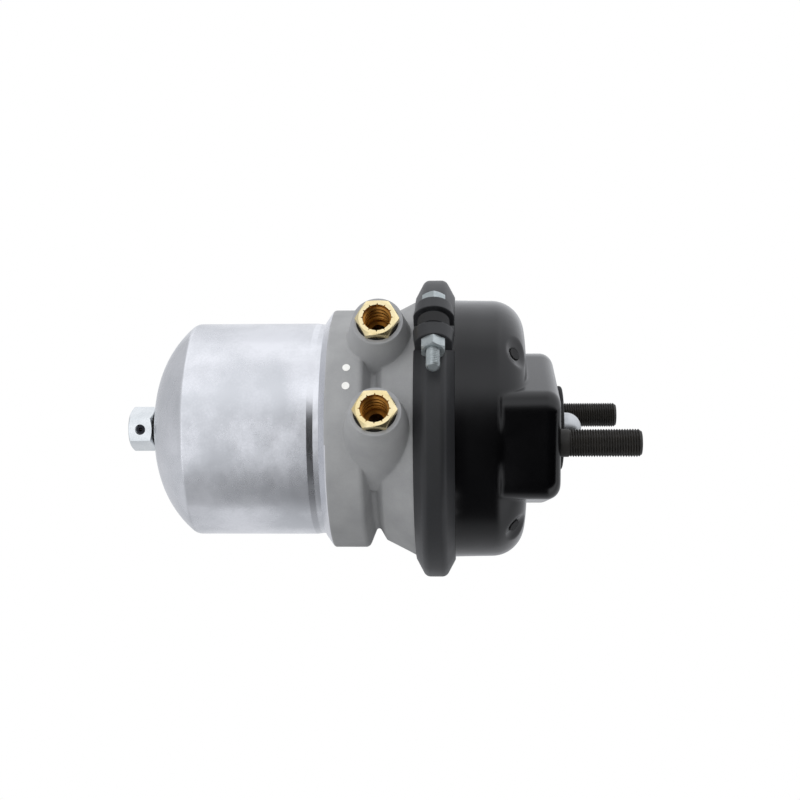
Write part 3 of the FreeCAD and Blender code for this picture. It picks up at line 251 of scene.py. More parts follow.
def rounded(points: list[tuple], steps: int = 8) -> list[tuple[float, float]]:
    """Round the corners of a closed outline.

    Args:
        points: (along, radius) pairs; a third number rounds that corner with an arc of that radius.
        steps: how many stretches an arc has.

    Returns:
        The outline as plain points.
    """
    made = []
    count = len(points)
    for i, point in enumerate(points):
        here = Vector(point[:2])
        if len(point) < 3:
            made.append(tuple(here))
            continue
        back = (Vector(points[i - 1][:2]) - here).normalized()
        ahead = (Vector(points[(i + 1) % count][:2]) - here).normalized()
        half = back.angle(ahead) / 2
        centre = here + (back + ahead).normalized() * (point[2] / math.sin(half))
        first = here + back * (point[2] / math.tan(half)) - centre
        last = here + ahead * (point[2] / math.tan(half)) - centre
        turn = first.angle_signed(last)
        for k in range(steps + 1):
            made.append(tuple(centre + Matrix.Rotation(-turn * k / steps, 2) @ first))
    return made


def bowed(start: tuple[float, float], end: tuple[float, float], radius: float,
          steps: int = 24) -> list[tuple[float, float]]:
    """Points of an arc that turns left on its way from start to end, without its first point."""
    first, last = Vector(start), Vector(end)
    chord = last - first
    rise = math.sqrt(radius ** 2 - chord.length ** 2 / 4)
    centre = (first + last) / 2 + Vector((-chord.y, chord.x)).normalized() * rise
    sweep = (first - centre).angle_signed(last - centre)
    turns = [Matrix.Rotation(-sweep * k / steps, 2) for k in range(1, steps + 1)]
    return [tuple(centre + turn @ (first - centre)) for turn in turns]


def outward(tilt: float) -> Vector:
    """The direction towards the camera's side, tilted up by an angle in degrees."""
    return Vector((0, -math.cos(math.radians(tilt)), math.sin(math.radians(tilt))))


def piece_of(name: str, mesh: bpy.types.Mesh, *finishes: Finish) -> bpy.types.Object:
    """Make an object of a mesh, with its finishes in order.

    Args:
        name: the piece's name.
        mesh: its mesh, in metres and in place.
        finishes: one for each material number that the faces use.

    Returns:
        The object, linked into the scene.
    """
    made = bpy.data.objects.new(name, mesh)
    bpy.context.scene.collection.objects.link(made)
    for finish in finishes:
        mesh.materials.append(finish.material())
    return made


def smooth(mesh: bpy.types.Mesh, degrees: float = 32.0) -> None:
    """Shade a mesh smooth, with its edges above an angle kept sharp.

    Args:
        mesh: the mesh.
        degrees: the angle between two faces above which their edge is sharp.
    """
    mesh.shade_smooth()
    mesh.set_sharp_from_angle(angle=math.radians(degrees))


def grid_mesh(name: str, rows: list[list[Vector]], closed: bool = True) -> bpy.types.Mesh:
    """Join rows of points, each a closed ring, into a skin.

    Args:
        name: the mesh's name.
        rows: rings of points in millimetres, all of one count; a ring of one point is a pole.
        closed: whether the last ring joins the first.

    Returns:
        The mesh in metres, with its faces turned outwards.
    """
    build = bmesh.new()
    rings = [[build.verts.new(point * MM) for point in row] for row in rows]
    pairs = list(zip(rings, rings[1:]))
    if closed:
        pairs.append((rings[-1], rings[0]))
    for low, high in pairs:
        count = max(len(low), len(high))
        for k in range(count):
            after = (k + 1) % count
            corners = [low[k % len(low)], low[after % len(low)], high[after % len(high)], high[k % len(high)]]
            corners = list(dict.fromkeys(corners))
            if len(corners) > 2:
                build.faces.new(corners)
    bmesh.ops.remove_doubles(build, verts=build.verts, dist=WELD * MM)
    bmesh.ops.recalc_face_normals(build, faces=build.faces)
    if build.calc_volume(signed=True) < 0:
        bmesh.ops.reverse_faces(build, faces=build.faces)
    mesh = bpy.data.meshes.new(name)
    build.to_mesh(mesh)
    build.free()
    return mesh


def lathe(name: str, outline: list[tuple[float, float]], finish: Finish, count: int) -> bpy.types.Object:
    """Turn a closed outline round the rod's axis.

    Args:
        name: the piece's name.
        outline: (along, radius) points in millimetres.
        finish: the piece's finish.
        count: how many flats the turned piece has.

    Returns:
        The piece.
    """
    rows = [ring_row(along, radius, count) if radius > WELD else pole(along) for along, radius in outline]
    mesh = grid_mesh(name, rows)
    smooth(mesh)
    return piece_of(name, mesh, finish)


def hexagon_reach(flats: float, turn: float) -> float:
    """The distance from a hexagon's middle to its edge at an angle from the middle of a flat."""
    return flats / 2 / math.cos((turn + math.pi / 6) % (math.pi / 3) - math.pi / 6)


def hexagon_rows(flats: float, low: float, high: float, chamfer: tuple[float, float], count: int = 96,
                 turn: float = 0.0) -> list[list[Vector]]:
    """Rows of points for the outside of a hexagon whose corners are turned down at its ends.

    Args:
        flats: the size across flats.
        low: where it starts along the X axis.
        high: where it ends.
        chamfer: the share of half the flats that the low and high end faces reach out to, 2 for none.
        count: the points in a row.
        turn: the angle of the first flat, from Y towards Z.

    Returns:
        The rows, from the low end face to the high one.
    """
    slope = math.tan(CORNER_CHAMFER)
    rows: list[list[Vector]] = [[], [], [], []]
    for k in range(count):
        angle = 2 * math.pi * k / count
        reach = hexagon_reach(flats, angle)
        spots = []
        for end, share, inward in ((low, chamfer[0], 1), (high, chamfer[1], -1)):
            face = min(reach, flats / 2 * share)
            spots.append((end, face))
            spots.append((end + inward * (reach - face) * slope, reach))
        order = [spots[0], spots[1], spots[3], spots[2]]
        for row, (along, radius) in zip(rows, order):
            row.append(Vector((along, radius * math.cos(angle + turn), radius * math.sin(angle + turn))))
    return rows


def ring_row(along: float, radius: float, count: int = 96, turn: float = 0.0) -> list[Vector]:
    """A ring of points round the X axis."""
    return [Vector((along, radius * math.cos(2 * math.pi * k / count + turn),
                    radius * math.sin(2 * math.pi * k / count + turn))) for k in range(count)]


def pole(along: float) -> list[Vector]:
    """A ring of one point, which closes a skin on the X axis."""
    return [Vector((along, 0, 0))]


def thread_mesh(name: str, pitch: float, core: float, crest: float, start: float, end: float,
                chamfer: float, count: int = 48, steps: int = 8, wall: float = 0.3) -> bpy.types.Mesh:
    """Make a helical thread as a closed sleeve along X.

    Args:
        name: the mesh's name.
        pitch: the thread's pitch.
        core: the radius in its grooves.
        crest: the radius of its crests.
        start: where it runs out into the shank.
        end: where the rod ends.
        chamfer: how far before the end the crests begin to fall.
        count: the number of points round it.
        steps: the number of rows for one turn.
        wall: how thick the sleeve is under the grooves.

    Returns:
        The mesh.
    """
    # the crests are a little flat, as rolled threads are
    fullness = 1.15
    inner = core - wall
    rows = [ring_row(start, inner, count)]
    total = max(2, round((end - start) / pitch * steps))
    for i in range(total + 1):
        along = start + (end - start) * i / total
        row = []
        for k in range(count):
            phase = (along / pitch - k / count) % 1.0
            lift = min(1.0, fullness * (1 - abs(2 * phase - 1)))
            lift *= min(1.0, (along - start) / pitch)
            radius = core + (crest - core) * lift
            radius = min(radius, crest - max(0.0, along - (end - chamfer)))
            angle = 2 * math.pi * k / count
            row.append(Vector((along, radius * math.cos(angle), radius * math.sin(angle))))
        rows.append(row)
    rows.append(ring_row(end, inner, count))
    return grid_mesh(name, rows)


def cad_copy(node: str, *finishes: Finish, sharp: float = 30.0) -> bpy.types.Object:
    """A welded copy of a CAD node, shaded smooth between its edges.

    Args:
        node: the CAD node's name.
        finishes: its finishes.
        sharp: the angle above which an edge stays sharp, in degrees.

    Returns:
        The copy, which stands for the node.
    """
    build = bmesh.new()
    build.from_mesh(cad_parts[node].data)
    bmesh.ops.remove_doubles(build, verts=build.verts, dist=CAD_WELD * MM)
    mesh = bpy.data.meshes.new(f"{node}_skin")
    build.to_mesh(mesh)
    build.free()
    for attribute in [a.name for a in mesh.attributes if a.name == "custom_normal"]:
        mesh.attributes.remove(mesh.attributes[attribute])
    smooth(mesh, sharp)
    made = piece_of(f"{node}_skin", mesh, *finishes)
    weighted = made.modifiers.new("weighted", "WEIGHTED_NORMAL")
    weighted.keep_sharp = True
    return settled(made)


def settled(piece: bpy.types.Object) -> bpy.types.Object:
    """Turn a piece's modifiers into its plain mesh."""
    depsgraph = bpy.context.evaluated_depsgraph_get()
    mesh = bpy.data.meshes.new_from_object(piece.evaluated_get(depsgraph), depsgraph=depsgraph)
    piece.modifiers.clear()
    piece.data = mesh
    return piece


def fit(piece: bpy.types.Object, body: str, slot: str, *nodes: str) -> bpy.types.Object:
    """Set a finished piece on its body and say which CAD nodes it stands for.

    Args:
        piece: the piece.
        body: the body that it rides on, or nothing for a piece that bends between two bodies.
        slot: the record's material slot for it; it is not used.
        nodes: the CAD nodes that it replaces.

    Returns:
        The piece.
    """
    if body:
        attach(piece, body)
    if nodes:
        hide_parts(*nodes)
    LOG.info("%s rides on %s and stands for %s", piece.name, body or "two bodies",
             ", ".join(nodes) or "nothing")
    return piece


def dress(node: str, finish: Finish) -> None:
    """Give a CAD node that stays in view its finish."""
    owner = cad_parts[node]
    owner.data.materials.clear()
    owner.data.materials.append(finish.material())


class WireTree:
    """A Geometry Nodes tree that winds a spring's wire along a helix."""

    def __init__(self) -> None:
        """Build the tree once, with named inputs for its sizes."""
        self.tree = bpy.data.node_groups.new("wound_wire", "GeometryNodeTree")
        face = self.tree.interface
        face.new_socket("Geometry", in_out="OUTPUT", socket_type="NodeSocketGeometry")
        for name, kind in (("Turns", "NodeSocketFloat"), ("Start Radius", "NodeSocketFloat"),
                           ("End Radius", "NodeSocketFloat"), ("Length", "NodeSocketFloat"),
                           ("Wire Radius", "NodeSocketFloat"), ("Sides", "NodeSocketInt"),
                           ("Steps", "NodeSocketInt"), ("Finish", "NodeSocketMaterial")):
            face.new_socket(name, in_out="INPUT", socket_type=kind)
        given = add_node(self.tree, "NodeGroupInput").outputs
        helix = add_node(self.tree, "GeometryNodeCurveSpiral", None, {
            "Resolution": given["Steps"], "Rotations": given["Turns"], "Start Radius": given["Start Radius"],
            "End Radius": given["End Radius"], "Height": given["Length"]})
        section = add_node(self.tree, "GeometryNodeCurvePrimitiveCircle", {"mode": "RADIUS"}, {
            "Resolution": given["Sides"], "Radius": given["Wire Radius"]})
        swept = add_node(self.tree, "GeometryNodeCurveToMesh", None, {
            "Curve": helix.outputs[0], "Profile Curve": section.outputs[0], "Fill Caps": True})
        whole = add_node(self.tree, "GeometryNodeRealizeInstances", None, {0: swept.outputs[0]})
        dressed = add_node(self.tree, "GeometryNodeSetMaterial", None, {
            "Geometry": whole.outputs[0], "Material": given["Finish"]})
        add_node(self.tree, "NodeGroupOutput", None, {0: dressed.outputs[0]})

    def wind(self, name: str, finish: Finish, turns: float, radii: tuple[float, float], length: float,
             wire: float, sides: int, steps: int, place: Matrix) -> bpy.types.Object:
        """Wind a wire and set it in place.

        Args:
            name: the piece's name.
            finish: its finish.
            turns: how many turns it has.
            radii: the helix's radius at its start and end, in millimetres.
            length: its length along the helix's own Z axis, in millimetres.
            wire: the wire's radius, in millimetres.
            sides: how many sides the wire has.
            steps: how many stretches a turn has.
            place: where it goes, as a matrix in metres.

        Returns:
            The piece as a plain mesh.
        """
        holder = bpy.data.objects.new(name, bpy.data.meshes.new(name))
        bpy.context.scene.collection.objects.link(holder)
        modifier = holder.modifiers.new("wound_wire", "NODES")
        modifier.node_group = self.tree
        values = {"Turns": turns, "Start Radius": radii[0] * MM, "End Radius": radii[1] * MM,
                  "Length": length * MM, "Wire Radius": wire * MM, "Sides": sides,
                  "Steps": steps, "Finish": finish.material()}
        for item in self.tree.interface.items_tree:
            if item.name in values:
                modifier[item.identifier] = values[item.name]
        made = settled(holder)
        made.data.transform(place)
        smooth(made.data, 50)
        return made


def along_rod(station: float) -> Matrix:
    """A matrix that lays a helix's own axis along the rod, starting at a station in millimetres."""
    return Matrix.Translation((station * MM, 0, 0)) @ Matrix.Rotation(math.radians(90), 4, "Y")


@dataclass
class SpringHousing:
    """The can with its release hexagon, pin and dust seal."""

    flats: int = 256
    arc_steps: int = 14
    corner_station: float = -219.0
    corner_radius: float = 6.0
    dome_radius: float = 64.0
    flat_radius: float = 12.0
    end_wall: float = 4.0
    inner_corner: float = 1.3
    rim_step_station: float = -145.0
    rim_step: float = 0.5
    step_fillet: float = 3.0
    neck_length: float = 3.5
    hole_radius: float = 8.3
    seat_radius: float = 17.0
    wall: float = 3.5
    hex_flats: float = 24.0
    hex_tilt: float = 6.0
    hex_chamfer: tuple[float, float] = (0.94, 0.94)
    screw_radius: float = 7.0
    drill_profile: tuple = ((-14.0, 4.6), (-10.9, 2.5), (10.9, 2.5), (14.0, 4.6))

    def can(self) -> None:
        """Make the deep drawn can with its dome and a soft step near the casting's rim."""
        low, high = (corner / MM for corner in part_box("spring_housing"))
        radius, end, mouth = high.z, low.x, high.x
        bore = radius - self.wall
        inside = end + self.end_wall
        inner_station = self.corner_station + self.inner_corner
        dome = bowed((self.corner_station, radius), (end, self.flat_radius), self.dome_radius)
        inner = bowed((inner_station, bore), (inside, self.seat_radius), self.dome_radius - self.wall)
        outline = rounded([
            (mouth, radius - self.rim_step),
            (self.rim_step_station + self.neck_length, radius - self.rim_step, self.step_fillet),
            (self.rim_step_station, radius, self.step_fillet),
            (self.corner_station, radius, self.corner_radius),
            *dome,
            (end, self.hole_radius),
            (inside, self.hole_radius),
            *reversed(inner),
            (inner_station, bore),
            (mouth, bore),
        ], self.arc_steps)
        can = lathe("can_shell", outline, DRAWN_ALUMINIUM, self.flats)
        fit(can, "housing", "drawn_aluminium", "spring_housing")

    def release_end(self) -> None:
        """Make the hexagon with its turned-down corners, and dress what sits with it."""
        low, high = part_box("release_hex")
        turn = math.radians(180 - self.hex_tilt)
        mesh = grid_mesh("hexagon", [
            ring_row(low.x / MM, self.screw_radius, turn=turn),
            *hexagon_rows(self.hex_flats, low.x / MM, high.x / MM, self.hex_chamfer, turn=turn),
            ring_row(high.x / MM, self.screw_radius, turn=turn),
        ])
        smooth(mesh, 20)
        piece = piece_of("release_hexagon", mesh, BRIGHT_ZINC)
        self.drill(piece)
        fit(piece, "release_bolt", "bright_steel", "release_hex")
        dress("release_dust_seal", BLACK_RUBBER)
        dress("release_screw", BRIGHT_STEEL)
        dress("hex_spring_pin", SPRING_STEEL)

    def drill(self, piece: bpy.types.Object) -> None:
        """Cut the countersunk hole for the spring pin."""
        low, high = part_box("hex_spring_pin")
        rings = [ring_row(reach, radius, 48) for reach, radius in self.drill_profile]
        ends = [pole(self.drill_profile[k][0]) for k in (0, -1)]
        drill = piece_of("pin_drill", grid_mesh("pin_drill", [ends[0], *rings, ends[1]], closed=False))
        facing = outward(self.hex_tilt).to_track_quat("X", "Z").to_matrix().to_4x4()
        drill.data.transform(Matrix.Translation((low + high) / 2) @ facing)
        cut = piece.modifiers.new("pin_hole", "BOOLEAN")
        cut.object = drill
        cut.solver = "EXACT"
        settled(piece)
        bpy.data.objects.remove(drill)
        clean = bmesh.new()
        clean.from_mesh(piece.data)
        bmesh.ops.remove_doubles(clean, verts=clean.verts, dist=WELD * MM)
        bmesh.ops.dissolve_degenerate(clean, edges=clean.edges, dist=WELD * MM)
        clean.to_mesh(piece.data)
        clean.free()

    def build(self) -> None:
        """Make every piece of the spring housing."""
        self.can()
        self.release_end()


@dataclass
class FlangeHousing:
    """The casting between the two chambers, with its seals and paint dots."""

    machined_length: float = 4.6
    boss_reach: float = 87.9
    facing: float = 0.98

    def build(self) -> None:
        """Dress the casting, with its machined faces brighter than its cast skin."""
        piece = cad_copy("flange_housing", CAST_ALUMINIUM, MACHINED_ALUMINIUM, FACED_ALUMINIUM, sharp=24)
        out = outward(PORT_TILT)
        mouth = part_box("flange_housing")[0].x / MM
        for face in piece.data.polygons:
            middle = face.center / MM
            reach = max(piece.data.vertices[k].co.x for k in face.vertices) / MM
            at_mouth = reach < mouth + self.machined_length
            on_boss = face.normal.dot(out) > self.facing and middle.dot(out) > self.boss_reach
            if at_mouth or on_boss:
                face.material_index = 1 if at_mouth else 2
        fit(piece, "housing", "cast_aluminium", "flange_housing")
        for node in ("connector_seal_rings", "can_seal_ring", "tube_seals"):
            dress(node, BLACK_RUBBER)
        dress("can_retaining_wire", BRIGHT_STEEL)
        dress("connector_claw_rings", BRIGHT_STEEL)
        dress("guide_bush", NYLON)
        dress("paint_dots", WHITE_PAINT)


@dataclass
class PortConnector:
    """A push-in connector: brass hexagon, notched mouth and a ribbed bore."""

    node: str
    side: float
    port_station: float = -103.5
    spread: float = 28.0
    flats: float = 22.0
    hex_chamfer: tuple[float, float] = (2.0, 0.95)
    face: float = 90.4
    top: float = 95.0
    bore_radius: float = 8.2
    notches: int = 12
    notch_depth: float = 1.15
    notch_half_angle: float = 3.2
    notch_length: float = 1.6
    notch_edge: float = 0.3
    rib_gap: float = 0.7
    rib_pitch: float = 3.8
    rib_height: float = 1.2
    rib_shape: tuple = ((0.0, 0.0), (0.2, 0.9), (0.3, 1.0), (0.5, 1.0), (0.6, 0.9), (0.8, 0.0))
    rib_clearance: float = 0.05
    ribs: int = 4
    throat_radius: float = 4.5
    spigot_radius: float = 10.0
    foot: float = 58.0
    crest_band: tuple[float, float] = (-0.2, 0.3)
    # how far out from the bore's radius the painted shade of the bore reaches
    shade_reach: float = 0.6
    count: int = 288

    def place(self) -> Matrix:
        """The matrix, in metres, that takes the connector's own X axis to its port's axis."""
        out, across, along = outward(PORT_TILT), outward(PORT_TILT + 90), Vector((1, 0, 0))
        turn = Matrix((out, along, out.cross(along))).transposed().to_4x4()
        base = along * self.port_station + across * self.side * self.spread
        return Matrix.Translation(base * MM) @ turn

    def mouth_row(self, along: float, depth: float) -> list[Vector]:
        """The ring round the mouth, with its notches this deep."""
        row = []
        step = 360.0 / self.notches
        for k in range(self.count):
            angle = 360.0 * k / self.count
            off = abs((angle + step / 2) % step - step / 2)
            radius = self.bore_radius + max(0.0, 1 - off / self.notch_half_angle) * depth
            turn = math.radians(angle)
            row.append(Vector((along, radius * math.cos(turn), radius * math.sin(turn))))
        return row

    def build(self) -> None:
        """Make the connector and set it in its boss."""
        rows = hexagon_rows(self.flats, self.face, self.top, self.hex_chamfer, self.count, math.radians(30))
        # a twelfth of a turn back, so that each row's first point lies in line with the rings' first points
        shift = self.count // 12
        rows = [row[-shift:] + row[:-shift] for row in rows]
        notch_foot = self.top - self.notch_length
        rows.append(self.mouth_row(self.top, self.notch_depth))
        rows.append(self.mouth_row(notch_foot, self.notch_depth))
        rows.append(self.mouth_row(notch_foot - self.notch_edge, 0.0))
        valley = self.bore_radius - self.rib_clearance
        station = notch_foot - self.notch_edge - self.rib_gap
        for _ in range(self.ribs):
            for share, lift in self.rib_shape:
                radius = valley - lift * self.rib_height
                rows.append(ring_row(station - share * self.rib_pitch, radius, self.count))
            station -= self.rib_pitch
        rest = ((station, valley), (station, self.throat_radius), (self.foot, self.throat_radius),
                (self.foot, self.spigot_radius), (self.face, self.spigot_radius))
        for along, radius in rest:
            rows.append(ring_row(along, radius, self.count))
        mesh = grid_mesh(self.node, rows)
        # the ribs' crests keep the brass's own colour; the rest of the bore is painted darker brown as
        # painted shade
        crest = self.bore_radius - self.rib_height
        below, above = self.crest_band
        for face in mesh.polygons:
            middle = face.center / MM
            radius = math.hypot(middle.y, middle.z)
            in_bore = radius < self.bore_radius + self.shade_reach and middle.x < notch_foot
            if in_bore and not crest + below < radius < crest + above:
                face.material_index = 1
        mesh.transform(self.place())
        smooth(mesh, 28)
        piece = piece_of(f"{self.node}_brass", mesh, TURNED_BRASS, BORE_SHADE_BRASS)
        fit(piece, "housing", "brass", self.node)


@dataclass
class ClampBand:
    """The clamp band's halves with their bolts, nuts and spacers."""

    turn: float = 45.0
    station: float = -71.5
    bolt_circle: float = 98.0
    ear: float = 13.7
    nut_flats: float = 13.0
    nut_height: float = 6.8
    nut_chamfer: tuple[float, float] = (0.94, 0.98)
    head_height: float = 5.3
    head_chamfer: tuple[float, float] = (2.0, 0.94)
    nut_edge: float = 0.7
    nut_mouth: float = 0.5
    nut_bore: float = 3.9
    bolt_radius: float = 4.0
    core_radius: float = 3.5
    groove_radius: float = 3.6
    tip_chamfer: float = 0.8
    crest_chamfer: float = 0.9
    thread_overlap: float = 3.0
    beyond: float = 11.5
    pitch: float = 1.25
    corner_turn: float = math.radians(30)

    def joint(self, side: int) -> Matrix:
        """The matrix, in metres, that takes a fastener's own X axis to its clamp joint, upwards."""
        turn = math.radians(self.turn)
        out = Vector((0, math.cos(turn), -math.sin(turn))) * side
        up = Vector((0, math.sin(turn), math.cos(turn)))
        along = up.cross(out)
        spot = Vector((self.station, 0, 0)) + out * self.bolt_circle
        return Matrix.Translation(spot * MM) @ Matrix((up, out, along)).transposed().to_4x4()

    def fasteners(self, side: int, name: str) -> tuple[bpy.types.Object, bpy.types.Object]:
        """Make one bolt and its nut.

        Args:
            side: -1 for the near joint, 1 for the far one.
            name: the word that the pieces' names start with.

        Returns:
            The bolt and the nut.
        """
        nut_end = -self.ear - self.nut_height
        tip = nut_end - self.beyond
        top = self.ear + self.head_height
        place = self.joint(side)
        bolt_mesh = grid_mesh(f"{name}_bolt", [
            pole(tip),
            ring_row(tip, self.core_radius - self.tip_chamfer),
            ring_row(tip + self.tip_chamfer, self.core_radius),
            ring_row(self.ear, self.core_radius),
            *hexagon_rows(self.nut_flats, self.ear, top, self.head_chamfer, turn=self.corner_turn),
            pole(top),
        ], closed=False)
        bolt_mesh.transform(place)
        smooth(bolt_mesh)
        bolt = piece_of(f"{name}_clamp_bolt", bolt_mesh, ZINC_PLATE)
        turned = thread_mesh(f"{name}_bolt_thread", self.pitch, self.groove_radius, self.bolt_radius,
                             self.ear - self.thread_overlap, -tip, self.crest_chamfer)
        turned.transform(place @ Matrix.Rotation(math.radians(180), 4, "Z"))
        smooth(turned, 60)
        thread = piece_of(f"{name}_clamp_bolt_thread", turned, ZINC_PLATE)
        nut_mesh = grid_mesh(f"{name}_nut", [
            ring_row(nut_end + self.nut_edge, self.nut_bore),
            ring_row(nut_end, self.bolt_radius + self.nut_mouth),
            *hexagon_rows(self.nut_flats, nut_end, -self.ear, self.nut_chamfer, turn=self.corner_turn),
            ring_row(-self.ear, self.nut_bore),
        ])
        nut_mesh.transform(place)
        smooth(nut_mesh, 20)
        nut = piece_of(f"{name}_clamp_nut", nut_mesh, ZINC_PLATE)
        fit(thread, "housing", "zinc_steel")
        return bolt, nut

    def build(self) -> None:
        """Make the band and its fasteners."""
        for node in ("clamp_band_upper", "clamp_band_lower"):
            fit(cad_copy(node, SATIN_PAINT, sharp=40), "housing", "black_paint", node)
        for side, name in ((-1, "near"), (1, "far")):
            bolt, nut = self.fasteners(side, name)
            fit(bolt, "housing", "zinc_steel", "clamp_bolts")
            fit(nut, "housing", "zinc_steel", "clamp_nuts")
        fit(cad_copy("clamp_spacers", BLACK_RUBBER), "housing", "black_paint", "clamp_spacers")


@dataclass
class ServiceHousing:
    """The black pressed housing, its studs, boot and drain plugs."""

    stud_circle: float = 120.65
    stud_radius: float = 8.0
    groove_radius: float = 7.1
    core_radius: float = 7.0
    stud_end: float = 46.4
    end_gap: float = 0.02
    end_radius: float = 5.9
    head: tuple[float, float, float] = (-9.0, 11.0, 1.5)
    head_seat: float = -4.0
    press_radius: float = 8.6
    runout_station: float = 5.0
    thread_start: float = 6.0
    pitch: float = 1.5
    chamfer: float = 1.5

    def stud(self, side: int, name: str) -> None:
        """Make one stud with a rolled thread, its head inside the housing."""
        place = Matrix.Translation((0, side * self.stud_circle / 2 * MM, 0))
        tip = self.stud_end - self.end_gap
        outline = rounded([
            (self.head[0], 0.0),
            self.head,
            (self.head_seat, self.head[1]),
            (self.head_seat, self.press_radius),
            (0.0, self.press_radius),
            (0.0, self.stud_radius),
            (self.runout_station, self.stud_radius),
            (self.thread_start, self.core_radius),
            (self.stud_end - self.chamfer, self.core_radius),
            (tip, self.end_radius),
            (tip, 0.0),
        ])
        shank = lathe(f"{name}_stud", outline, PHOSPHATE, 96)
        shank.data.transform(place)
        turned = thread_mesh(f"{name}_stud_thread", self.pitch, self.groove_radius, self.stud_radius,
                             self.runout_station, self.stud_end, self.chamfer, 64)
        turned.transform(place)
        smooth(turned, 60)
        thread = piece_of(f"{name}_stud_thread_piece", turned, PHOSPHATE)
        fit(shank, "housing", "phosphated_steel", "mounting_studs")
        fit(thread, "housing", "phosphated_steel", "mounting_studs")

    def build(self) -> None:
        """Make the housing and what it carries."""
        fit(cad_copy("service_housing", BLACK_PAINT, sharp=30), "housing", "black_paint", "service_housing")
        self.stud(-1, "near")
        self.stud(1, "far")
        fit(cad_copy("rod_boot", BLACK_RUBBER), "housing", "black_rubber", "rod_boot")
        dress("boot_retaining_ring", BRIGHT_STEEL)
        dress("drain_plugs", BLACK_RUBBER)


@dataclass
class InnerParts:
    """What the two chambers hold: rod, plate, diaphragm, piston, tube, nut, bearing and both springs."""

    diaphragm_thickness: float = 3.0
    power_wire: float = 5.5
    power_turns: float = 2.7
    return_wire: float = 1.9
    return_turns: float = 4.5
    return_radii: tuple[float, float] = (43.0, 33.0)
    finishes: dict = field(default_factory=lambda: {
        "push_plate": BRIGHT_STEEL, "spring_piston": CAST_ALUMINIUM, "piston_lip_seal": BLACK_RUBBER,
        "piston_guide_ring": NYLON, "push_tube": BRIGHT_STEEL, "tube_end_plug": NYLON,
        "nut_retainer": BRIGHT_STEEL, "release_nut": BRIGHT_STEEL, "thrust_washers": BRIGHT_STEEL,
        "bearing_needles": BRIGHT_STEEL,
    })

    def springs(self) -> None:
        """Wind both springs; each bends between the two bodies that it stands between."""
        wires = WireTree()
        low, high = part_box("power_spring")
        wire = self.power_wire
        reach = high.z / MM - wire
        length = (high.x - low.x) / MM - 2 * wire
        power = wires.wind("power_spring_coil", SPRING_STEEL, self.power_turns, (reach, reach), length, wire,
                           20, 72, along_rod(low.x / MM + wire))
        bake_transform(power, "housing", "piston", start=(low.x, 0, 0), end=(high.x, 0, 0))
        fit(power, "", "spring_steel", "power_spring")
        low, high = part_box("return_spring")
        wire = self.return_wire
        length = (high.x - low.x) / MM - 2 * wire
        back = wires.wind("return_spring_coil", SPRING_STEEL, self.return_turns, self.return_radii, length,
                          wire, 16, 64, along_rod(low.x / MM + wire))
        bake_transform(back, "rod", "housing", start=(low.x, 0, 0), end=(high.x, 0, 0))
        fit(back, "", "spring_steel", "return_spring")

    def diaphragm(self) -> None:
        """Make the diaphragm, which rolls between its middle on the rod and its rim in the clamp."""
        low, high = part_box("diaphragm")
        piece = cad_copy("diaphragm", BLACK_RUBBER)
        middle = low.x + self.diaphragm_thickness * MM
        rim = high.x - self.diaphragm_thickness * MM
        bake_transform(piece, "rod", "housing", start=(middle, 0, 0), end=(rim, 0, 0))
        fit(piece, "", "black_rubber", "diaphragm")

    def build(self) -> None:
        """Dress the inner pieces, wind the springs and lay the diaphragm."""
        for node, finish in self.finishes.items():
            dress(node, finish)
        fit(cad_copy("push_rod", BRIGHT_STEEL), "rod", "bright_steel", "push_rod")
        self.springs()
        self.diaphragm()


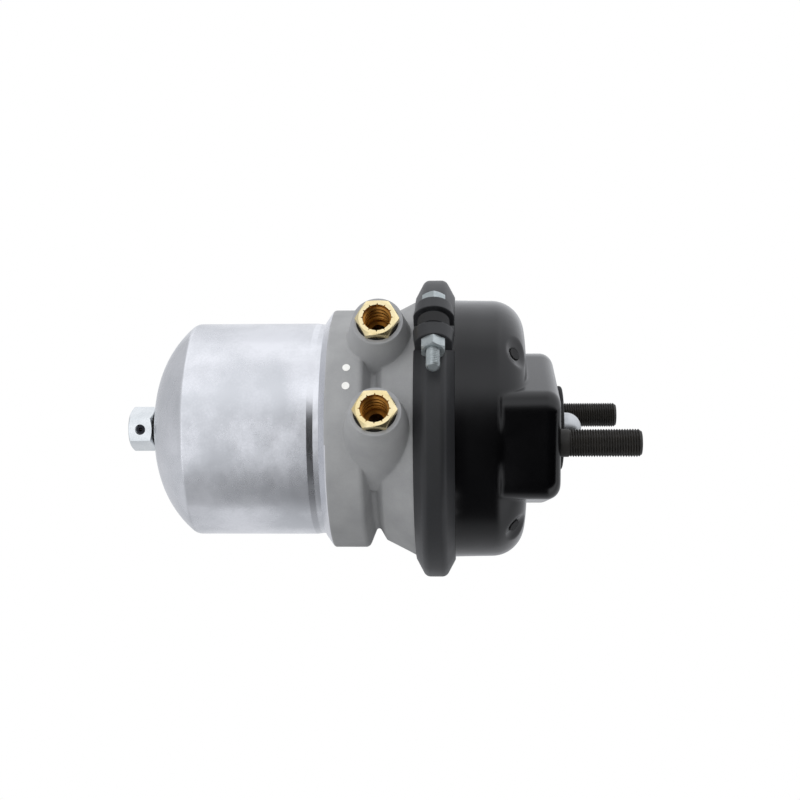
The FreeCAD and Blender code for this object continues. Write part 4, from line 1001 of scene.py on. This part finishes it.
@dataclass
class Studio:
    """Camera, white backdrop with the tent that gloss sees, and soft lamps."""

    distance: float = 778.6
    focal: float = 1248.6
    azimuth: float = 2.79
    elevation: float = 6.91
    roll: float = 0.53
    target_along: float = -94.09
    target_up: float = 17.63
    frame_width: float = 800.0
    sensor: float = 36.0
    # what dull surfaces see: a room with one bright side
    room_dim: float = 0.48
    room_bright: float = 1.42
    bright_side: tuple[float, float, float] = (-0.50, -0.42, 0.76)
    bright_range: tuple[float, float] = (-0.3, 0.9)
    wall_peak: float = 1.2
    # the tent's walls: glow by the angle round the rod's axis, 0 towards the camera and 90 straight up
    left_wall: dict = field(default_factory=lambda: {
        -180: 0.84, -120: 0.72, -88: 0.72, -80: 0.46, -52: 0.42, -34: 0.64, -16: 0.90, 10: 0.96, 44: 1.06,
        75: 0.92, 100: 0.90, 180: 0.84})
    middle_wall: dict = field(default_factory=lambda: {
        -180: 0.70, -108: 0.45, -86: 0.28, -70: 0.04, -40: 0.01, 8: 0.02, 24: 0.20, 38: 0.75, 50: 1.0,
        80: 0.85, 110: 1.0, 180: 1.0})
    right_wall: dict = field(default_factory=lambda: {
        -180: 0.7, -100: 0.6, -60: 0.95, -46: 0.1, -36: 0.01, 8: 0.02, 24: 0.25, 40: 0.9, 60: 1.1, 180: 1.0})
    dome_wall: dict = field(default_factory=lambda: {-180: 0.62, -60: 0.70, 20: 0.60, 180: 0.60})
    strip_wall: dict = field(default_factory=lambda: {-180: 0.80, -60: 0.60, -30: 1.18, 60: 1.15, 180: 0.90})
    # where each wall gives way to the next, by the X part of the direction that gloss looks in
    wall_edges: tuple = ((-0.50, -0.42), (-0.30, -0.22), (-0.11, -0.03), (0.10, 0.35))
    gloss_tint: tuple[float, float, float, float] = (0.975, 0.99, 1.03, 1.0)
    lamps: tuple = (("overhead", (-0.1, 0.2, 1.4), (1.2, 0.8), 0.35),
                    ("key", (-0.9, -0.9, 0.9), (0.7, 0.7), 0.2))

    def camera(self) -> None:
        """Set the camera where the photograph's stood."""
        turn, rise = math.radians(self.azimuth), math.radians(self.elevation)
        back = Vector((math.sin(turn) * math.cos(rise), -math.cos(turn) * math.cos(rise), math.sin(rise)))
        right = Vector((0, 0, 1)).cross(back).normalized()
        up = back.cross(right)
        target = Vector((self.target_along, 0, 0)) + up * self.target_up
        lens = bpy.data.cameras.new("camera")
        lens.sensor_width = self.sensor
        lens.sensor_fit = "HORIZONTAL"
        lens.lens = self.focal / self.frame_width * self.sensor
        made = bpy.data.objects.new("camera", lens)
        bpy.context.scene.collection.objects.link(made)
        facing = Matrix((right, up, back)).transposed().to_4x4()
        tilted = facing @ Matrix.Rotation(math.radians(-self.roll), 4, "Z")
        made.matrix_world = Matrix.Translation((target + back * self.distance) * MM) @ tilted
        bpy.context.scene.camera = made

    def lamp(self, name: str, spot: tuple[float, float, float], size: tuple[float, float],
             power: float) -> None:
        """Hang an area lamp that faces the chamber.

        Args:
            name: the lamp's name.
            spot: where it hangs, in metres.
            size: its width and height, in metres.
            power: its strength in watts.
        """
        light = bpy.data.lights.new(name, "AREA")
        light.shape = "RECTANGLE"
        light.size, light.size_y = size
        light.energy = power
        made = bpy.data.objects.new(name, light)
        bpy.context.scene.collection.objects.link(made)
        aim = Vector((self.target_along * MM, 0, 0)) - Vector(spot)
        made.matrix_world = Matrix.Translation(spot) @ aim.to_track_quat("-Z", "Y").to_matrix().to_4x4()

    def wall(self, tree: bpy.types.NodeTree, turn: bpy.types.NodeSocket, glows: dict) -> bpy.types.NodeSocket:
        """Make one wall of the tent, which gloss sees.

        Args:
            tree: the world's tree.
            turn: the angle round the rod's axis, from 0 to 1.
            glows: the wall's glow by that angle in degrees, 0 towards the camera and 90 straight up.

        Returns:
            The glow's socket.
        """
        made = add_node(tree, "ShaderNodeFloatCurve", None, {"Value": turn})
        curve = made.mapping.curves[0]
        for degrees, glow in glows.items():
            spot = ((degrees + 180) / 360, glow / self.wall_peak)
            if degrees == -180:
                curve.points[0].location = spot
            elif degrees == 180:
                curve.points[-1].location = spot
            else:
                curve.points.new(*spot)
        made.mapping.update()
        full = add_node(tree, "ShaderNodeMath", {"operation": "MULTIPLY"}, {
            0: made.outputs[0], 1: self.wall_peak})
        return full.outputs[0]

    def backdrop(self) -> None:
        """Make the world white to the eye, and a bright tent with a dark camera opening to gloss."""
        world = bpy.data.worlds.new("studio")
        bpy.context.scene.world = world
        world.use_nodes = True
        tree = world.node_tree
        background = tree.nodes["Background"]
        path = add_node(tree, "ShaderNodeLightPath")
        way = add_node(tree, "ShaderNodeTexCoord").outputs["Generated"]
        axes = add_node(tree, "ShaderNodeSeparateXYZ", None, {0: way}).outputs
        toward = add_node(tree, "ShaderNodeMath", {"operation": "MULTIPLY"}, {0: axes["Y"], 1: -1.0})
        angle = add_node(tree, "ShaderNodeMath", {"operation": "ARCTAN2"}, {
            0: axes["Z"], 1: toward.outputs[0]})
        turn = add_node(tree, "ShaderNodeMapRange", None, {
            "Value": angle.outputs[0], "From Min": -math.pi, "From Max": math.pi})
        glows = (self.dome_wall, self.strip_wall, self.left_wall, self.middle_wall, self.right_wall)
        walls = [self.wall(tree, turn.outputs[0], glow) for glow in glows]
        glow = walls[0]
        for (near, far), wall in zip(self.wall_edges, walls[1:]):
            share = add_node(tree, "ShaderNodeMapRange", {"interpolation_type": "SMOOTHSTEP"}, {
                "Value": axes["X"], "From Min": near, "From Max": far})
            glow = add_node(tree, "ShaderNodeMix", None, {
                "Factor": share.outputs[0], 2: glow, 3: wall}).outputs[0]
        facing = add_node(tree, "ShaderNodeVectorMath", {"operation": "DOT_PRODUCT"}, {
            0: way, 1: self.bright_side})
        start, full = self.bright_range
        room = add_node(tree, "ShaderNodeMapRange", {"interpolation_type": "SMOOTHSTEP"}, {
            "Value": facing.outputs["Value"], "From Min": start, "From Max": full,
            "To Min": self.room_dim, "To Max": self.room_bright})
        soft = add_node(tree, "ShaderNodeMix", None, {
            "Factor": path.outputs["Is Glossy Ray"], 2: room.outputs[0], 3: glow})
        seen = add_node(tree, "ShaderNodeMix", None, {
            "Factor": path.outputs["Is Camera Ray"], 2: soft.outputs[0], 3: 1.0})
        tint = add_node(tree, "ShaderNodeMix", {"data_type": "RGBA"}, {
            "Factor": path.outputs["Is Glossy Ray"], 6: (1, 1, 1, 1), 7: self.gloss_tint})
        tree.links.new(tint.outputs[2], background.inputs["Color"])
        tree.links.new(seen.outputs[0], background.inputs["Strength"])

    def build(self) -> None:
        """Set up the camera, the backdrop and the lamps."""
        self.camera()
        self.backdrop()
        for lamp in self.lamps:
            self.lamp(*lamp)
        bpy.context.scene.view_settings.view_transform = "Standard"


def main() -> None:
    """Build the chamber's pieces in order, then the studio."""
    logging.basicConfig(level=logging.INFO, format="%(message)s")
    for part in (SpringHousing(), FlangeHousing(), PortConnector("parking_port_connector", 1),
                 PortConnector("service_port_connector", -1), ClampBand(), ServiceHousing(), InnerParts(),
                 Studio()):
        part.build()
        LOG.info("%s is done", type(part).__name__)


if __name__ == "__main__":
    main()
